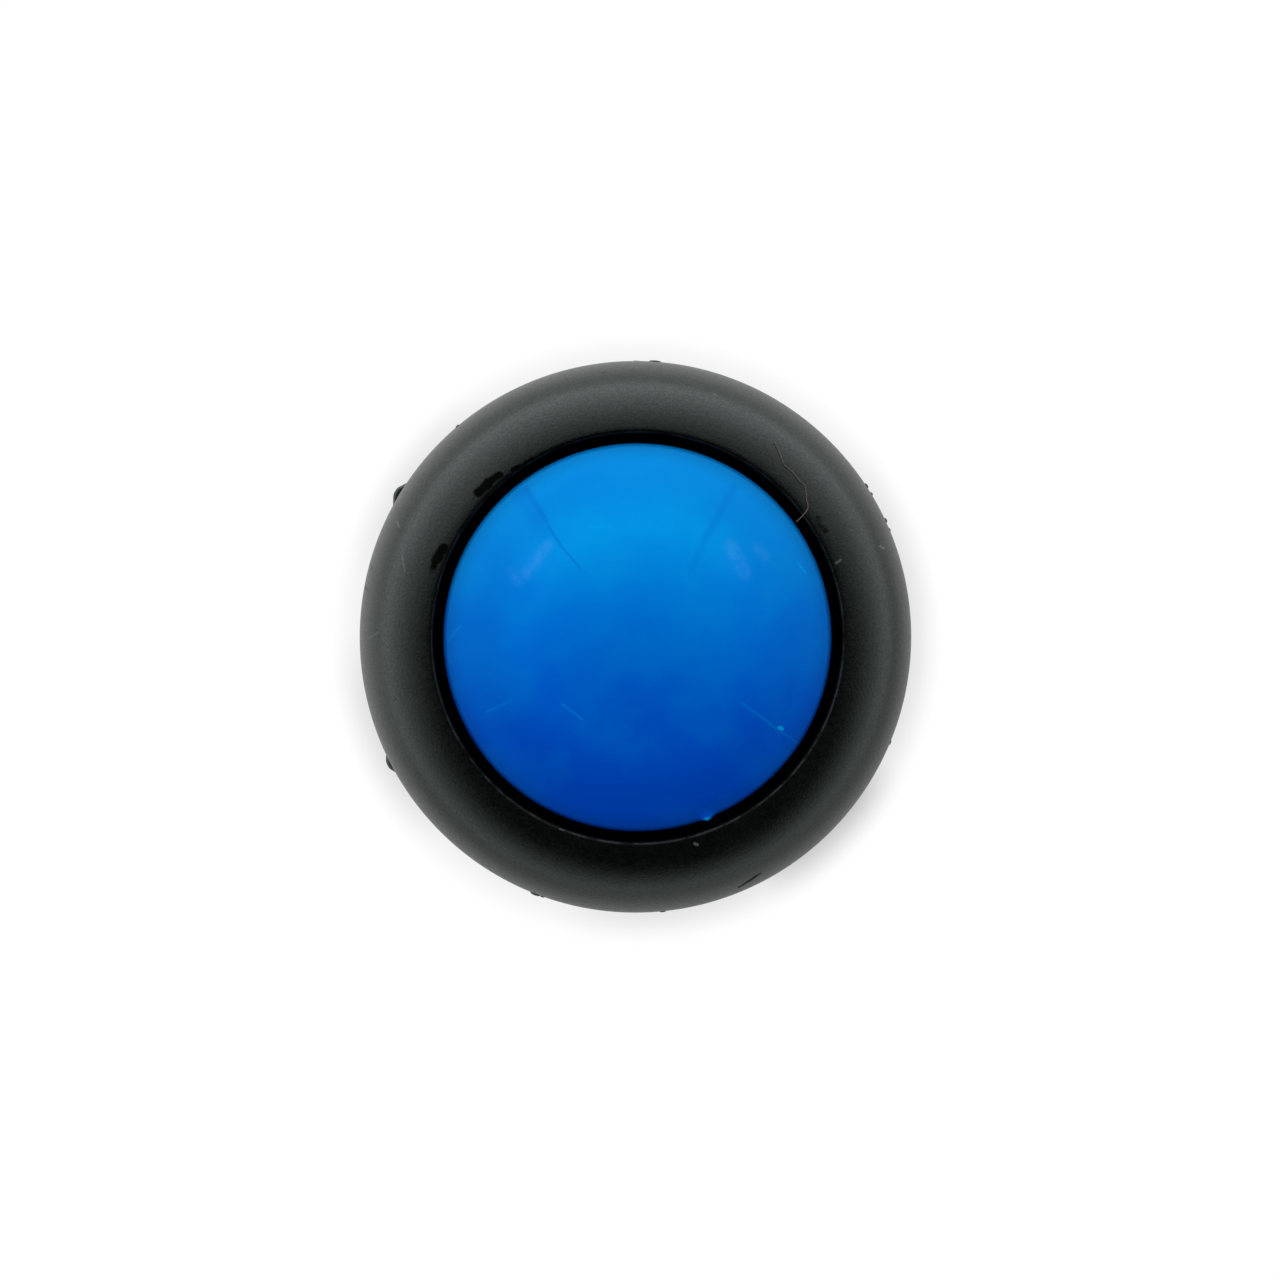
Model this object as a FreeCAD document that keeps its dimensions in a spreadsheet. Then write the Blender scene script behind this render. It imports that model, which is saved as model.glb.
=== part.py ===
import FreeCAD, Part
import math
import os
import re

import Sketcher
from FreeCAD import Placement, Rotation, Vector

# Panel-mount latching push button for a 12 mm hole.
# Millimetres, +Z up along the push axis, origin in the middle of the panel's front face.
# The cap is at rest, up, and the latch wire stands at the foot of its track.

# Driving sizes
SIZES = {
    # bezel and its well
    "bezel_flange": 1.85,
    "edge_round": 0.35,
    "land_height": 1.0,
    "crown_round": 2.27,
    "lip_round": 0.1,
    "well_inset": 0.225,
    # threaded barrel
    "thread_radius": 5.9,
    "barrel_length": 15.0,
    "barrel_chamfer": 0.4,
    "thread_pitch": 1.0,
    "thread_depth": 0.46,
    "thread_flat": 0.16,
    "thread_lead": 0.9,
    "thread_exit": 0.15,
    "thread_overcut": 0.05,
    "neck_length": 0.8,
    "relief_width": 0.6,
    "relief_depth": 0.5,
    "gasket_relief": 0.2,
    "collar_length": 3.5,
    # gasket and nut
    "gasket_thick": 0.8,
    "gasket_inset": 0.35,
    "gasket_round": 0.15,
    "gasket_play": 0.05,
    "nut_wall": 1.1,
    "nut_thick": 2.5,
    "nut_drop": 5.0,
    "nut_play": 0.07,
    "nut_turn": 1.6,
    "nut_chamfer": 0.35,
    "nut_corner_trim": 0.06,
    # cap
    "cap_gap": 0.275,
    "rim_drop": 0.15,
    "crown_skirt": 0.65,
    "dome_rise": 1.2,
    "cap_edge_round": 0.2,
    "cap_rim_wall": 0.7,
    "post_radius": 2.15,
    "post_length": 2.7,
    "post_core": 1.2,
    "post_roof": 0.4,
    "post_slot": 0.5,
    "post_slot_depth": 1.7,
    "post_land": 0.75,
    "bead_height": 0.5,
    "bead_depth": 0.15,
    "bead_rise": 0.5,
    # plunger
    "travel": 2.2,
    "bottom_clear": 0.1,
    "stop_gap": 0.1,
    "slide_play": 0.15,
    "socket_play": 0.05,
    "socket_depth": 3.0,
    "stem_radius": 3.75,
    "guide_length": 6.9,
    "seal_drop": 2.95,
    "seal_section": 0.8,
    "seal_width": 1.0,
    "seal_play": 0.05,
    "cup_radius": 2.1,
    "cup_wall": 0.65,
    "cup_lip": 0.35,
    "cup_lip_thick": 0.45,
    "cup_clear": 0.4,
    "key_width": 1.2,
    "key_rise": 0.4,
    "key_play": 0.1,
    # latch track and wire
    "flat_depth": 1.05,
    "track_depth": 0.75,
    "track_foot": 0.58,
    "track_half": 1.62,
    "track_shoulder": 1.95,
    "track_top": 2.65,
    "track_tooth": 2.05,
    "heart_foot": 0.74,
    "heart_half": 0.42,
    "heart_side": 1.5,
    "heart_peak": 1.68,
    "heart_peak_half": 0.3,
    "heart_notch": 1.25,
    "pin_rest_height": 1.0,
    "wire_thick": 0.5,
    "wire_bend": 0.5,
    "wire_flat_gap": 0.35,
    "wire_spring_gap": 0.325,
    "wire_tip_gap": 0.2,
    "pivot_height": 0.8,
    "pivot_depth": 0.6,
    "pivot_play": 0.07,
    "pivot_end_gap": 0.1,
    "leaf_thick": 0.15,
    "leaf_width": 1.6,
    "leaf_gap": 0.05,
    "leaf_hole": 0.8,
    "leaf_rise": 5.9,
    "leaf_foot": 0.6,
    # springs and contacts
    "return_wire": 0.45,
    "return_length": 6.4,
    "return_turns": 5.5,
    "spring_play": 0.225,
    "spring_seat": 0.02,
    "contact_wire": 0.25,
    "contact_spring_radius": 1.1,
    "contact_turns": 4.5,
    "disc_thick": 0.4,
    "disc_play": 0.15,
    "disc_seat": 0.02,
    "contact_gap": 1.0,
    "contact_pitch": 2.0,
    "rivet_head": 0.5,
    "rivet_head_height": 0.3,
    "rivet_shank": 0.35,
    "rivet_tail": 0.6,
    "rivet_tail_height": 0.3,
    # base and solder lugs
    "plug_height": 1.6,
    "fit_play": 0.02,
    "base_inset": 0.4,
    "base_thick": 1.2,
    "base_round": 0.3,
    "pedestal_radius": 1.6,
    "divider_thick": 0.5,
    "divider_width": 3.2,
    "divider_height": 1.2,
    "lug_thick": 0.5,
    "lug_width": 2.2,
    "lug_split": 0.35,
    "lug_reach": 3.1,
    "lug_length": 5.8,
    "lug_bend": 0.3,
    "lug_tip": 0.6,
    "eye_width": 0.9,
    "eye_length": 1.6,
    "eye_edge": 0.9,
    "eye_round": 0.4,
}

# Heights and radii that follow from the driving sizes
DERIVED = {
    "bezel_radius": "thread_radius + bezel_flange",
    "well_radius": "thread_radius - well_inset",
    "crown_foot_line": "gasket_thick + edge_round + land_height",
    "lip_edge": "well_radius + lip_round",
    "crown_reach": "lip_edge - bezel_radius + crown_round",
    "crest": "crown_foot_line + sqrt(crown_round * crown_round - crown_reach * crown_reach)",
    "cap_radius": "well_radius - cap_gap",
    "rim": "crest - rim_drop",
    "crown_foot": "rim - crown_skirt",
    "apex": "rim + dome_rise",
    "dome_chord": "cap_radius - cap_edge_round",
    "dome_radius": "(dome_chord * dome_chord + dome_rise * dome_rise) / (2 * dome_rise)",
    "post_foot": "crown_foot - post_length",
    "bead_foot": "post_foot + bead_rise",
    "bead_top": "bead_foot + bead_height",
    "well_floor": "crown_foot - travel - bottom_clear",
    "stem_bore": "stem_radius + slide_play",
    "cup_outer": "cup_radius + cup_wall",
    "return_radius": "cup_outer + spring_play + return_wire / 2",
    "spring_skin": "return_radius + return_wire / 2",
    "guide_radius": "spring_skin + wire_spring_gap + flat_depth - wire_flat_gap",
    "guide_bore": "guide_radius + slide_play",
    "shoulder": "well_floor - collar_length",
    "guide_top": "shoulder - stop_gap",
    "guide_foot": "guide_top - guide_length",
    "relief_top": "-neck_length",
    "thread_top": "-neck_length - relief_width",
    "thread_root": "thread_radius - thread_depth",
    "thread_start": "-barrel_length - thread_lead",
    "thread_flank": "(thread_pitch - 2 * thread_flat) / (2 * thread_depth)",
    "thread_mouth": "thread_flat / 2 + thread_flank * (thread_depth + thread_overcut)",
    "nut_foot": "-nut_drop - nut_thick",
    "nut_bore": "thread_radius + nut_play",
    "nut_inner": "thread_radius + nut_wall",
    "nut_corner": "nut_inner / cos(30 deg)",
    "nut_edge": "nut_corner - nut_corner_trim",
    "nut_slope": "(nut_edge - nut_inner) / 2",
    "socket_radius": "post_radius + socket_play",
    "socket_floor": "crown_foot - socket_depth",
    "seal_middle": "crown_foot - seal_drop",
    "seal_seat": "stem_bore - seal_play - seal_section",
    "seal_ring": "seal_seat + seal_section / 2",
    "base_floor": "plug_height - barrel_length",
    "base_flange": "thread_radius - base_inset",
    "base_foot": "-barrel_length - base_thick",
    "spring_roof": "base_floor + return_length",
    "spring_outer": "spring_skin + spring_play",
    "cup_foot": "base_floor + travel + cup_clear",
    "cup_lip_top": "cup_foot + cup_lip_thick",
    "disc_foot": "cup_lip_top + disc_seat",
    "disc_top": "disc_foot + disc_thick",
    "rivet_top": "disc_foot - contact_gap",
    "pedestal_top": "rivet_top - rivet_head_height",
    "track_face": "guide_radius - flat_depth",
    "track_floor": "track_face - track_depth",
    "pin_rest": "spring_roof + pin_rest_height",
    "wire_line": "track_face + wire_flat_gap + wire_thick / 2",
    "wire_tip": "track_floor + wire_tip_gap",
    "pivot_line": "base_floor + pivot_height",
    "pivot_end": "guide_bore + pivot_depth",
    "leaf_inner": "wire_line + wire_thick / 2 + leaf_gap",
    "leaf_outer": "leaf_inner + leaf_thick",
    "lug_foot_base": "base_foot - lug_thick",
    "lug_end": "base_foot - lug_length",
    "lug_inner": "lug_reach - lug_thick",
    "lug_knee": "lug_bend + lug_thick",
    "eye_foot": "lug_end + eye_edge",
    "eye_top": "eye_foot + eye_length",
}

NAME = re.compile(r"[a-z][a-z_]*")
MATHS = ("cos", "deg", "sqrt")
HALF_TURN = 0.5

doc = FreeCAD.newDocument("latching_push_button")
sheet = doc.addObject("Spreadsheet::Sheet", "Sizes")
for row, (name, value) in enumerate(SIZES.items(), start=1):
    sheet.set("A%d" % row, name)
    sheet.set("B%d" % row, str(value))
    sheet.setAlias("B%d" % row, name)
doc.recompute()


def formula(text):
    """The sheet's formula for a size that is written in the names above."""

    def cell(match):
        name = match.group(0)
        if name in MATHS:
            return name
        if name in SIZES:
            return "Sizes." + name
        return "(" + formula(DERIVED[name]) + ")"

    return NAME.sub(cell, text)


def amount(text):
    """The present value of a size that is written in the names above."""
    return float(sheet.evalExpression(formula(text)))


def bind(thing, **properties):
    """Tie properties of an object to the sheet."""
    for path, text in properties.items():
        thing.setExpression(path.replace("__", "."), formula(text))


def new_sketch(body, plane):
    sketch = body.newObject("Sketcher::SketchObject", body.Name + "_outline")
    origin = [f for f in body.Origin.OriginFeatures if f.Role == plane]
    sketch.AttachmentSupport = (origin[0], [""])
    sketch.MapMode = "FlatFace"
    return sketch


def arc_between(start, end, radius, turn):
    """The short arc from start to end that bends left (turn 1) or right (turn -1)."""
    middle = (start + end) * 0.5
    half = (end - start) * 0.5
    rise = math.sqrt(max(radius * radius - half.Length * half.Length, 0))
    normal = Vector(-half.y, half.x, 0).normalize()
    centre = middle + normal * (rise * turn)
    first, last = (start, end) if turn > 0 else (end, start)
    angles = [math.atan2(p.y - centre.y, p.x - centre.x) for p in (first, last)]
    return Part.ArcOfCircle(Part.Circle(centre, Vector(0, 0, 1), radius), *angles)


def limit(sketch, text, kind, *places):
    """Add a dimension to a sketch and tie it to the sheet."""
    rule = sketch.addConstraint(Sketcher.Constraint(kind, *places, amount(text)))
    sketch.setExpression("Constraints[%d]" % rule, formula(text))


def draw(sketch, outline, closed=True):
    """Draw an outline in a sketch and tie every corner to the sheet.

    An entry is a corner (across, up), or a corner with the radius and the turn of the arc
    that leaves it for the next corner.
    """
    points = [Vector(amount(entry[0]), amount(entry[1]), 0) for entry in outline]
    count = len(outline) if closed else len(outline) - 1
    starts = []
    ends = []
    for i, entry in enumerate(outline[:count]):
        end = points[(i + 1) % len(points)]
        if len(entry) == 2:
            edge = sketch.addGeometry(Part.LineSegment(points[i], end))
            starts.append((edge, 1))
            ends.append((edge, 2))
            continue
        radius, turn = entry[2:]
        edge = sketch.addGeometry(arc_between(points[i], end, amount(radius), turn))
        starts.append((edge, 1 if turn > 0 else 2))
        ends.append((edge, 2 if turn > 0 else 1))
        limit(sketch, radius, "Radius", edge)
    for i in range(count if closed else count - 1):
        following = starts[(i + 1) % count]
        sketch.addConstraint(Sketcher.Constraint("Coincident", *ends[i], *following))
    corners = starts if closed else starts + ends[-1:]
    for corner, entry in zip(corners, outline):
        limit(sketch, entry[0], "DistanceX", -1, 1, *corner)
        limit(sketch, entry[1], "DistanceY", -1, 1, *corner)
    return sketch


def turned(name, outline):
    """A body turned about its Z axis from an outline of (radius, height) corners."""
    body = doc.addObject("PartDesign::Body", name)
    sketch = draw(new_sketch(body, "XZ_Plane"), outline)
    turning = body.newObject("PartDesign::Revolution", name + "_turning")
    turning.Profile = sketch
    turning.ReferenceAxis = (sketch, ["V_Axis"])
    turning.Angle = 360
    body.Tip = turning
    return body


def padded(name, plane, outlines, thickness, middle="0"):
    """A body raised from outlines, half its thickness to each side of a line at middle."""
    body = doc.addObject("PartDesign::Body", name)
    sketch = new_sketch(body, plane)
    for outline in outlines:
        draw(sketch, outline)
    bind(sketch, AttachmentOffset__Base__z=middle)
    pad = body.newObject("PartDesign::Pad", name + "_pad")
    pad.Profile = sketch
    pad.SideType = "Symmetric"
    bind(pad, Length=thickness)
    body.Tip = pad
    return body


def block(name, x_half, y_low, y_high, z_low, z_high):
    """A box that is centred on the YZ plane."""
    box = doc.addObject("Part::Box", name)
    bind(
        box,
        Length="2 * (%s)" % x_half,
        Width="(%s) - (%s)" % (y_high, y_low),
        Height="(%s) - (%s)" % (z_high, z_low),
        Placement__Base__x="-(%s)" % x_half,
        Placement__Base__y=y_low,
        Placement__Base__z=z_low,
    )
    return box


def rod(name, radius, x_at, z_low, z_high):
    """An upright cylinder at x_at."""
    pin = doc.addObject("Part::Cylinder", name)
    bind(
        pin,
        Radius=radius,
        Height="(%s) - (%s)" % (z_high, z_low),
        Placement__Base__x=x_at,
        Placement__Base__z=z_low,
    )
    return pin


def cross_rod(name, radius, y_low, y_high, z_at):
    """A cylinder along Y in the YZ plane."""
    pin = doc.addObject("Part::Cylinder", name)
    pin.Placement.Rotation = Rotation(Vector(1, 0, 0), -90)
    bind(
        pin,
        Radius=radius,
        Height="(%s) - (%s)" % (y_high, y_low),
        Placement__Base__y=y_low,
        Placement__Base__z=z_at,
    )
    return pin


def cut(name, base, *tools):
    for i, tool in enumerate(tools):
        part = doc.addObject("Part::Cut", name if i == len(tools) - 1 else name + "_cut")
        part.Base = base
        part.Tool = tool
        base = part
    return base


def fuse(name, base, tool):
    part = doc.addObject("Part::Fuse", name)
    part.Base = base
    part.Tool = tool
    return part


def common(name, base, tool):
    part = doc.addObject("Part::Common", name)
    part.Base = base
    part.Tool = tool
    return part


def wound(name, section, radius, start, rise, pitch):
    """A solid swept from a section along a right-hand helix, half a turn at a time."""
    helix = doc.addObject("Part::Helix", name + "_helix")
    helix.SegmentLength = HALF_TURN
    bind(helix, Radius=radius, Height=rise, Pitch=pitch, Placement__Base__z=start)
    sweep = doc.addObject("Part::Sweep", name)
    sweep.Sections = [section]
    sweep.Spine = helix
    sweep.Solid = True
    sweep.Frenet = True
    return sweep


def coil_spring(name, wire, radius, foot, length, turns):
    """A coil spring of round wire between its two seats."""
    start = "%s + %s / 2 + spring_seat" % (foot, wire)
    rise = "(%s - %s - 2 * spring_seat)" % (length, wire)
    section = doc.addObject("Part::Circle", name + "_section")
    section.Placement.Rotation = Rotation(Vector(1, 0, 0), 90)
    bind(
        section,
        Radius="%s / 2" % wire,
        Placement__Base__x=radius,
        Placement__Base__z=start,
    )
    return wound(name, section, radius, start, rise, "%s / %s" % (rise, turns))


# Bezel and barrel, one black moulding: the well holds the cap, the collar guides the stem,
# and the wider bore below guides the plunger and its key. The thread runs out in the relief
# under the neck.
housing_turning = turned(
    "housing_turning",
    [
        ("guide_bore", "-barrel_length"),
        ("thread_radius - barrel_chamfer", "-barrel_length"),
        ("thread_radius", "barrel_chamfer - barrel_length"),
        ("thread_radius", "thread_top"),
        ("thread_radius - relief_depth", "thread_top"),
        ("thread_radius - relief_depth", "relief_top"),
        ("thread_radius", "relief_top"),
        ("thread_radius", "0"),
        ("thread_radius - gasket_relief", "0"),
        ("thread_radius - gasket_relief", "gasket_thick"),
        ("bezel_radius - edge_round", "gasket_thick", "edge_round", 1),
        ("bezel_radius", "gasket_thick + edge_round"),
        ("bezel_radius", "crown_foot_line", "crown_round", 1),
        ("lip_edge", "crest", "lip_round", 1),
        ("well_radius", "crest - lip_round"),
        ("well_radius", "well_floor"),
        ("stem_bore", "well_floor"),
        ("stem_bore", "shoulder"),
        ("guide_bore", "shoulder"),
    ],
)
housing_keyway = block(
    "housing_keyway",
    "key_width / 2 + key_play",
    "-(guide_radius + key_rise + slide_play)",
    "-stem_bore",
    "-barrel_length",
    "shoulder",
)
housing_pivot = cross_rod(
    "housing_pivot", "wire_thick / 2 + pivot_play", "stem_bore", "pivot_end", "pivot_line"
)
thread_section = doc.addObject("Sketcher::SketchObject", "thread_section")
thread_section.Placement.Rotation = Rotation(Vector(1, 0, 0), 90)
draw(
    thread_section,
    [
        ("thread_root", "thread_start - thread_flat / 2"),
        ("thread_radius + thread_overcut", "thread_start - thread_mouth"),
        ("thread_radius + thread_overcut", "thread_start + thread_mouth"),
        ("thread_root", "thread_start + thread_flat / 2"),
    ],
)
thread_groove = wound(
    "thread_groove",
    thread_section,
    "thread_radius",
    "thread_start",
    "thread_top + thread_exit - thread_start",
    "thread_pitch",
)
cut("bezel_housing", housing_turning, housing_keyway, housing_pivot, thread_groove)

# Flat rubber ring between the bezel and the panel
turned(
    "panel_gasket",
    [
        ("thread_radius + gasket_play", "0"),
        ("bezel_radius - gasket_inset - gasket_round", "0", "gasket_round", 1),
        ("bezel_radius - gasket_inset", "gasket_round"),
        ("bezel_radius - gasket_inset", "gasket_thick - gasket_round", "gasket_round", 1),
        ("bezel_radius - gasket_inset - gasket_round", "gasket_thick"),
        ("thread_radius + gasket_play", "gasket_thick"),
    ],
)

# Hexagon nut: a prism trimmed by a turned ring that chamfers its lower corners and its bore
nut_prism = doc.addObject("Part::Prism", "nut_prism")
nut_prism.Polygon = 6
nut_prism.Placement.Rotation = Rotation(Vector(0, 0, 1), 30)
bind(
    nut_prism,
    Circumradius="nut_corner",
    Height="nut_thick",
    Placement__Base__z="nut_foot",
    Placement__Rotation__Angle="(30 - nut_turn) * 1 deg",
)
nut_ring = turned(
    "nut_ring",
    [
        ("nut_bore + nut_chamfer", "nut_foot"),
        ("nut_inner", "nut_foot"),
        ("nut_edge", "nut_foot + nut_slope"),
        ("nut_edge", "-nut_drop"),
        ("nut_bore + nut_chamfer", "-nut_drop"),
        ("nut_bore", "-nut_drop - nut_chamfer"),
        ("nut_bore", "nut_foot + nut_chamfer"),
    ],
)
common("hex_nut", nut_prism, nut_ring)

# Domed cap with a hollow crown and a split post whose bead snaps into the plunger
cap_turning = turned(
    "cap_turning",
    [
        ("0", "apex", "dome_radius", -1),
        ("dome_chord", "rim", "cap_edge_round", -1),
        ("cap_radius", "rim - cap_edge_round"),
        ("cap_radius", "crown_foot"),
        ("cap_radius - cap_rim_wall", "crown_foot"),
        ("cap_radius - cap_rim_wall", "apex - dome_rise - cap_edge_round"),
        ("post_radius + post_land", "apex - dome_rise - cap_edge_round"),
        ("post_radius + post_land", "crown_foot"),
        ("post_radius", "crown_foot"),
        ("post_radius", "bead_top"),
        ("post_radius + bead_depth", "bead_top - bead_height / 2"),
        ("post_radius", "bead_foot"),
        ("post_radius", "post_foot"),
        ("post_core", "post_foot"),
        ("post_core", "crown_foot - post_roof"),
        ("0", "crown_foot - post_roof"),
    ],
)
slot_reach = "post_radius + post_land"
cap_slot_x = block(
    "cap_slot_x",
    slot_reach,
    "-post_slot / 2",
    "post_slot / 2",
    "post_foot",
    "post_foot + post_slot_depth",
)
cap_slot_y = block(
    "cap_slot_y",
    "post_slot / 2",
    "-(%s)" % slot_reach,
    slot_reach,
    "post_foot",
    "post_foot + post_slot_depth",
)
cut("button_cap", cap_turning, cap_slot_x, cap_slot_y)

# Plunger: cap socket and seal groove in the stem, a keyed guide below it, a ring pocket for
# the return spring, and a cup that holds the contact spring and disc over an inward lip
plunger_turning = turned(
    "plunger_turning",
    [
        ("0", "socket_floor"),
        ("socket_radius", "socket_floor"),
        ("socket_radius", "bead_foot"),
        ("socket_radius + bead_depth", "bead_top - bead_height / 2"),
        ("socket_radius", "bead_top"),
        ("socket_radius", "crown_foot"),
        ("stem_radius", "crown_foot"),
        ("stem_radius", "seal_middle + seal_width / 2"),
        ("seal_seat", "seal_middle + seal_width / 2"),
        ("seal_seat", "seal_middle - seal_width / 2"),
        ("stem_radius", "seal_middle - seal_width / 2"),
        ("stem_radius", "guide_top"),
        ("guide_radius", "guide_top"),
        ("guide_radius", "guide_foot"),
        ("spring_outer", "guide_foot"),
        ("spring_outer", "spring_roof"),
        ("cup_outer", "spring_roof"),
        ("cup_outer", "cup_foot"),
        ("cup_radius - cup_lip", "cup_foot"),
        ("cup_radius - cup_lip", "cup_lip_top"),
        ("cup_radius", "cup_lip_top"),
        ("cup_radius", "spring_roof"),
        ("0", "spring_roof"),
    ],
)
plunger_key = block(
    "plunger_key",
    "key_width / 2",
    "-(guide_radius + key_rise)",
    "-spring_outer",
    "guide_foot",
    "guide_top",
)
plunger_keyed = fuse("plunger_keyed", plunger_turning, plunger_key)
plunger_flat = block(
    "plunger_flat", "guide_radius", "track_face", "guide_radius + flat_depth", "guide_foot", "guide_top"
)


def track_corner(side, across, up):
    """A corner of the latch track, measured from the wire's tip at rest."""
    return ("%s * %s" % (side, across), "pin_rest + %s" % up)


# Heart-shaped latch track: the tip climbs one flank, drops into the notch and leaves by the other
track_outline = [
    ("0", "pin_rest - track_foot"),
    track_corner("1", "track_half", "track_shoulder"),
    track_corner("1", "track_half", "track_top"),
    ("0", "pin_rest + track_tooth"),
    track_corner("-1", "track_half", "track_top"),
    track_corner("-1", "track_half", "track_shoulder"),
]
heart_outline = [
    ("0", "pin_rest + heart_foot"),
    track_corner("1", "heart_half", "heart_side"),
    track_corner("1", "heart_peak_half", "heart_peak"),
    ("0", "pin_rest + heart_notch"),
    track_corner("-1", "heart_peak_half", "heart_peak"),
    track_corner("-1", "heart_half", "heart_side"),
]
plunger_track = padded(
    "plunger_track", "XZ_Plane", [track_outline, heart_outline], "2 * track_depth", "-track_face"
)
cut("plunger", plunger_keyed, plunger_flat, plunger_track)

# Rubber ring in the stem's groove
seal = doc.addObject("Part::Torus", "plunger_seal")
bind(
    seal,
    Radius1="seal_ring",
    Radius2="seal_section / 2",
    Placement__Base__z="seal_middle",
)

# Coil springs under the plunger and over the contact disc
coil_spring(
    "return_spring", "return_wire", "return_radius", "base_floor", "return_length", "return_turns"
)
coil_spring(
    "contact_spring",
    "contact_wire",
    "contact_spring_radius",
    "disc_top",
    "(spring_roof - disc_top)",
    "contact_turns",
)

# Contact disc, dished at the rim, loose in the plunger's cup
disc_radius = "cup_radius - disc_play"
turned(
    "contact_disc",
    [
        ("0", "disc_foot"),
        (disc_radius + " - disc_thick / 2", "disc_foot"),
        (disc_radius, "disc_foot + disc_thick / 2"),
        (disc_radius, "disc_top"),
        ("0", "disc_top"),
    ],
)

# Base that plugs the barrel: a pedestal for the contacts inside, a rib between the lugs outside
base_turning = turned(
    "base_turning",
    [
        ("0", "base_foot"),
        ("base_flange - base_round", "base_foot", "base_round", 1),
        ("base_flange", "base_foot + base_round"),
        ("base_flange", "-barrel_length"),
        ("guide_bore - fit_play", "-barrel_length"),
        ("guide_bore - fit_play", "base_floor"),
        ("pedestal_radius", "base_floor"),
        ("pedestal_radius", "pedestal_top"),
        ("0", "pedestal_top"),
    ],
)
base_divider = block(
    "base_divider",
    "divider_thick / 2",
    "-divider_width / 2",
    "divider_width / 2",
    "base_foot - divider_height",
    "base_foot",
)
base_ribbed = fuse("base_ribbed", base_turning, base_divider)
base_notch = block(
    "base_notch",
    "leaf_width / 2 + fit_play",
    "leaf_inner - fit_play",
    "guide_bore",
    "base_floor - leaf_foot - fit_play",
    "base_floor",
)
rivet_holes = [
    rod(name, "rivet_shank + fit_play", x_at, "base_foot", "pedestal_top")
    for name, x_at in (
        ("base_hole_left", "-contact_pitch / 2"),
        ("base_hole_right", "contact_pitch / 2"),
    )
]
cut("terminal_base", base_ribbed, base_notch, *rivet_holes)

# Contact rivets: a head on the pedestal, a shank through the base, a tail that clamps the lug
for rivet_name, rivet_place in (
    ("fixed_contact_left", "-contact_pitch / 2"),
    ("fixed_contact_right", "contact_pitch / 2"),
):
    rivet = turned(
        rivet_name,
        [
            ("0", "lug_foot_base - rivet_tail_height"),
            ("rivet_tail - rivet_tail_height / 2", "lug_foot_base - rivet_tail_height"),
            ("rivet_tail", "lug_foot_base - rivet_tail_height / 2"),
            ("rivet_tail", "lug_foot_base"),
            ("rivet_shank", "lug_foot_base"),
            ("rivet_shank", "pedestal_top"),
            ("rivet_head", "pedestal_top"),
            ("rivet_head", "rivet_top - rivet_head_height / 3"),
            ("rivet_head - rivet_head_height / 3", "rivet_top"),
            ("0", "rivet_top"),
        ],
    )
    bind(rivet, Placement__Base__x=rivet_place)

# Solder lugs: a bent strip with a rounded end and an oblong eye, clamped under the base
lug_side = padded(
    "lug_side",
    "XZ_Plane",
    [
        [
            ("lug_split", "lug_foot_base"),
            ("lug_inner - lug_bend", "lug_foot_base", "lug_bend", -1),
            ("lug_inner", "lug_foot_base - lug_bend"),
            ("lug_inner", "lug_end"),
            ("lug_reach", "lug_end"),
            ("lug_reach", "base_foot - lug_knee", "lug_knee", 1),
            ("lug_reach - lug_knee", "base_foot"),
            ("lug_split", "base_foot"),
        ]
    ],
    "lug_width",
)
lug_face = padded(
    "lug_face",
    "YZ_Plane",
    [
        [
            ("lug_tip - lug_width / 2", "lug_end"),
            ("lug_width / 2 - lug_tip", "lug_end", "lug_tip", 1),
            ("lug_width / 2", "lug_end + lug_tip"),
            ("lug_width / 2", "base_foot"),
            ("-lug_width / 2", "base_foot"),
            ("-lug_width / 2", "lug_end + lug_tip", "lug_tip", 1),
        ],
        [
            ("eye_round - eye_width / 2", "eye_foot"),
            ("eye_width / 2 - eye_round", "eye_foot", "eye_round", 1),
            ("eye_width / 2", "eye_foot + eye_round"),
            ("eye_width / 2", "eye_top - eye_round", "eye_round", 1),
            ("eye_width / 2 - eye_round", "eye_top"),
            ("eye_round - eye_width / 2", "eye_top", "eye_round", 1),
            ("-eye_width / 2", "eye_top - eye_round"),
            ("-eye_width / 2", "eye_foot + eye_round", "eye_round", 1),
        ],
    ],
    "2 * lug_reach",
)
lug_blank = common("lug_blank", lug_side, lug_face)
lug_hole = rod(
    "lug_hole", "rivet_shank + fit_play", "contact_pitch / 2", "lug_foot_base", "base_foot"
)
lug = cut("terminal_right", lug_blank, lug_hole)
other_lug = doc.addObject("Part::Mirroring", "terminal_left")
other_lug.Source = lug
other_lug.Normal = Vector(1, 0, 0)

# Latch wire, bent to a Z: the tip lies in the track, the foot turns in the housing's wall
wire_path = doc.addObject("Sketcher::SketchObject", "latch_wire_path")
wire_path.Placement = Placement(Vector(0, 0, 0), Rotation(Vector(1, 1, 1), 120))
draw(
    wire_path,
    [
        ("wire_tip", "pin_rest"),
        ("wire_line - wire_bend", "pin_rest", "wire_bend", -1),
        ("wire_line", "pin_rest - wire_bend"),
        ("wire_line", "pivot_line + wire_bend", "wire_bend", 1),
        ("wire_line + wire_bend", "pivot_line"),
        ("pivot_end - pivot_end_gap", "pivot_line"),
    ],
    closed=False,
)
wire_section = doc.addObject("Part::Circle", "latch_wire_section")
wire_section.Placement.Rotation = Rotation(Vector(1, 0, 0), 90)
bind(
    wire_section,
    Radius="wire_thick / 2",
    Placement__Base__y="wire_tip",
    Placement__Base__z="pin_rest",
)
doc.recompute()
wire = doc.addObject("Part::Sweep", "latch_wire")
wire.Sections = [wire_section]
wire.Spine = (wire_path, ["Edge%d" % (i + 1) for i in range(len(wire_path.Shape.Edges))])
wire.Solid = True

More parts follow.
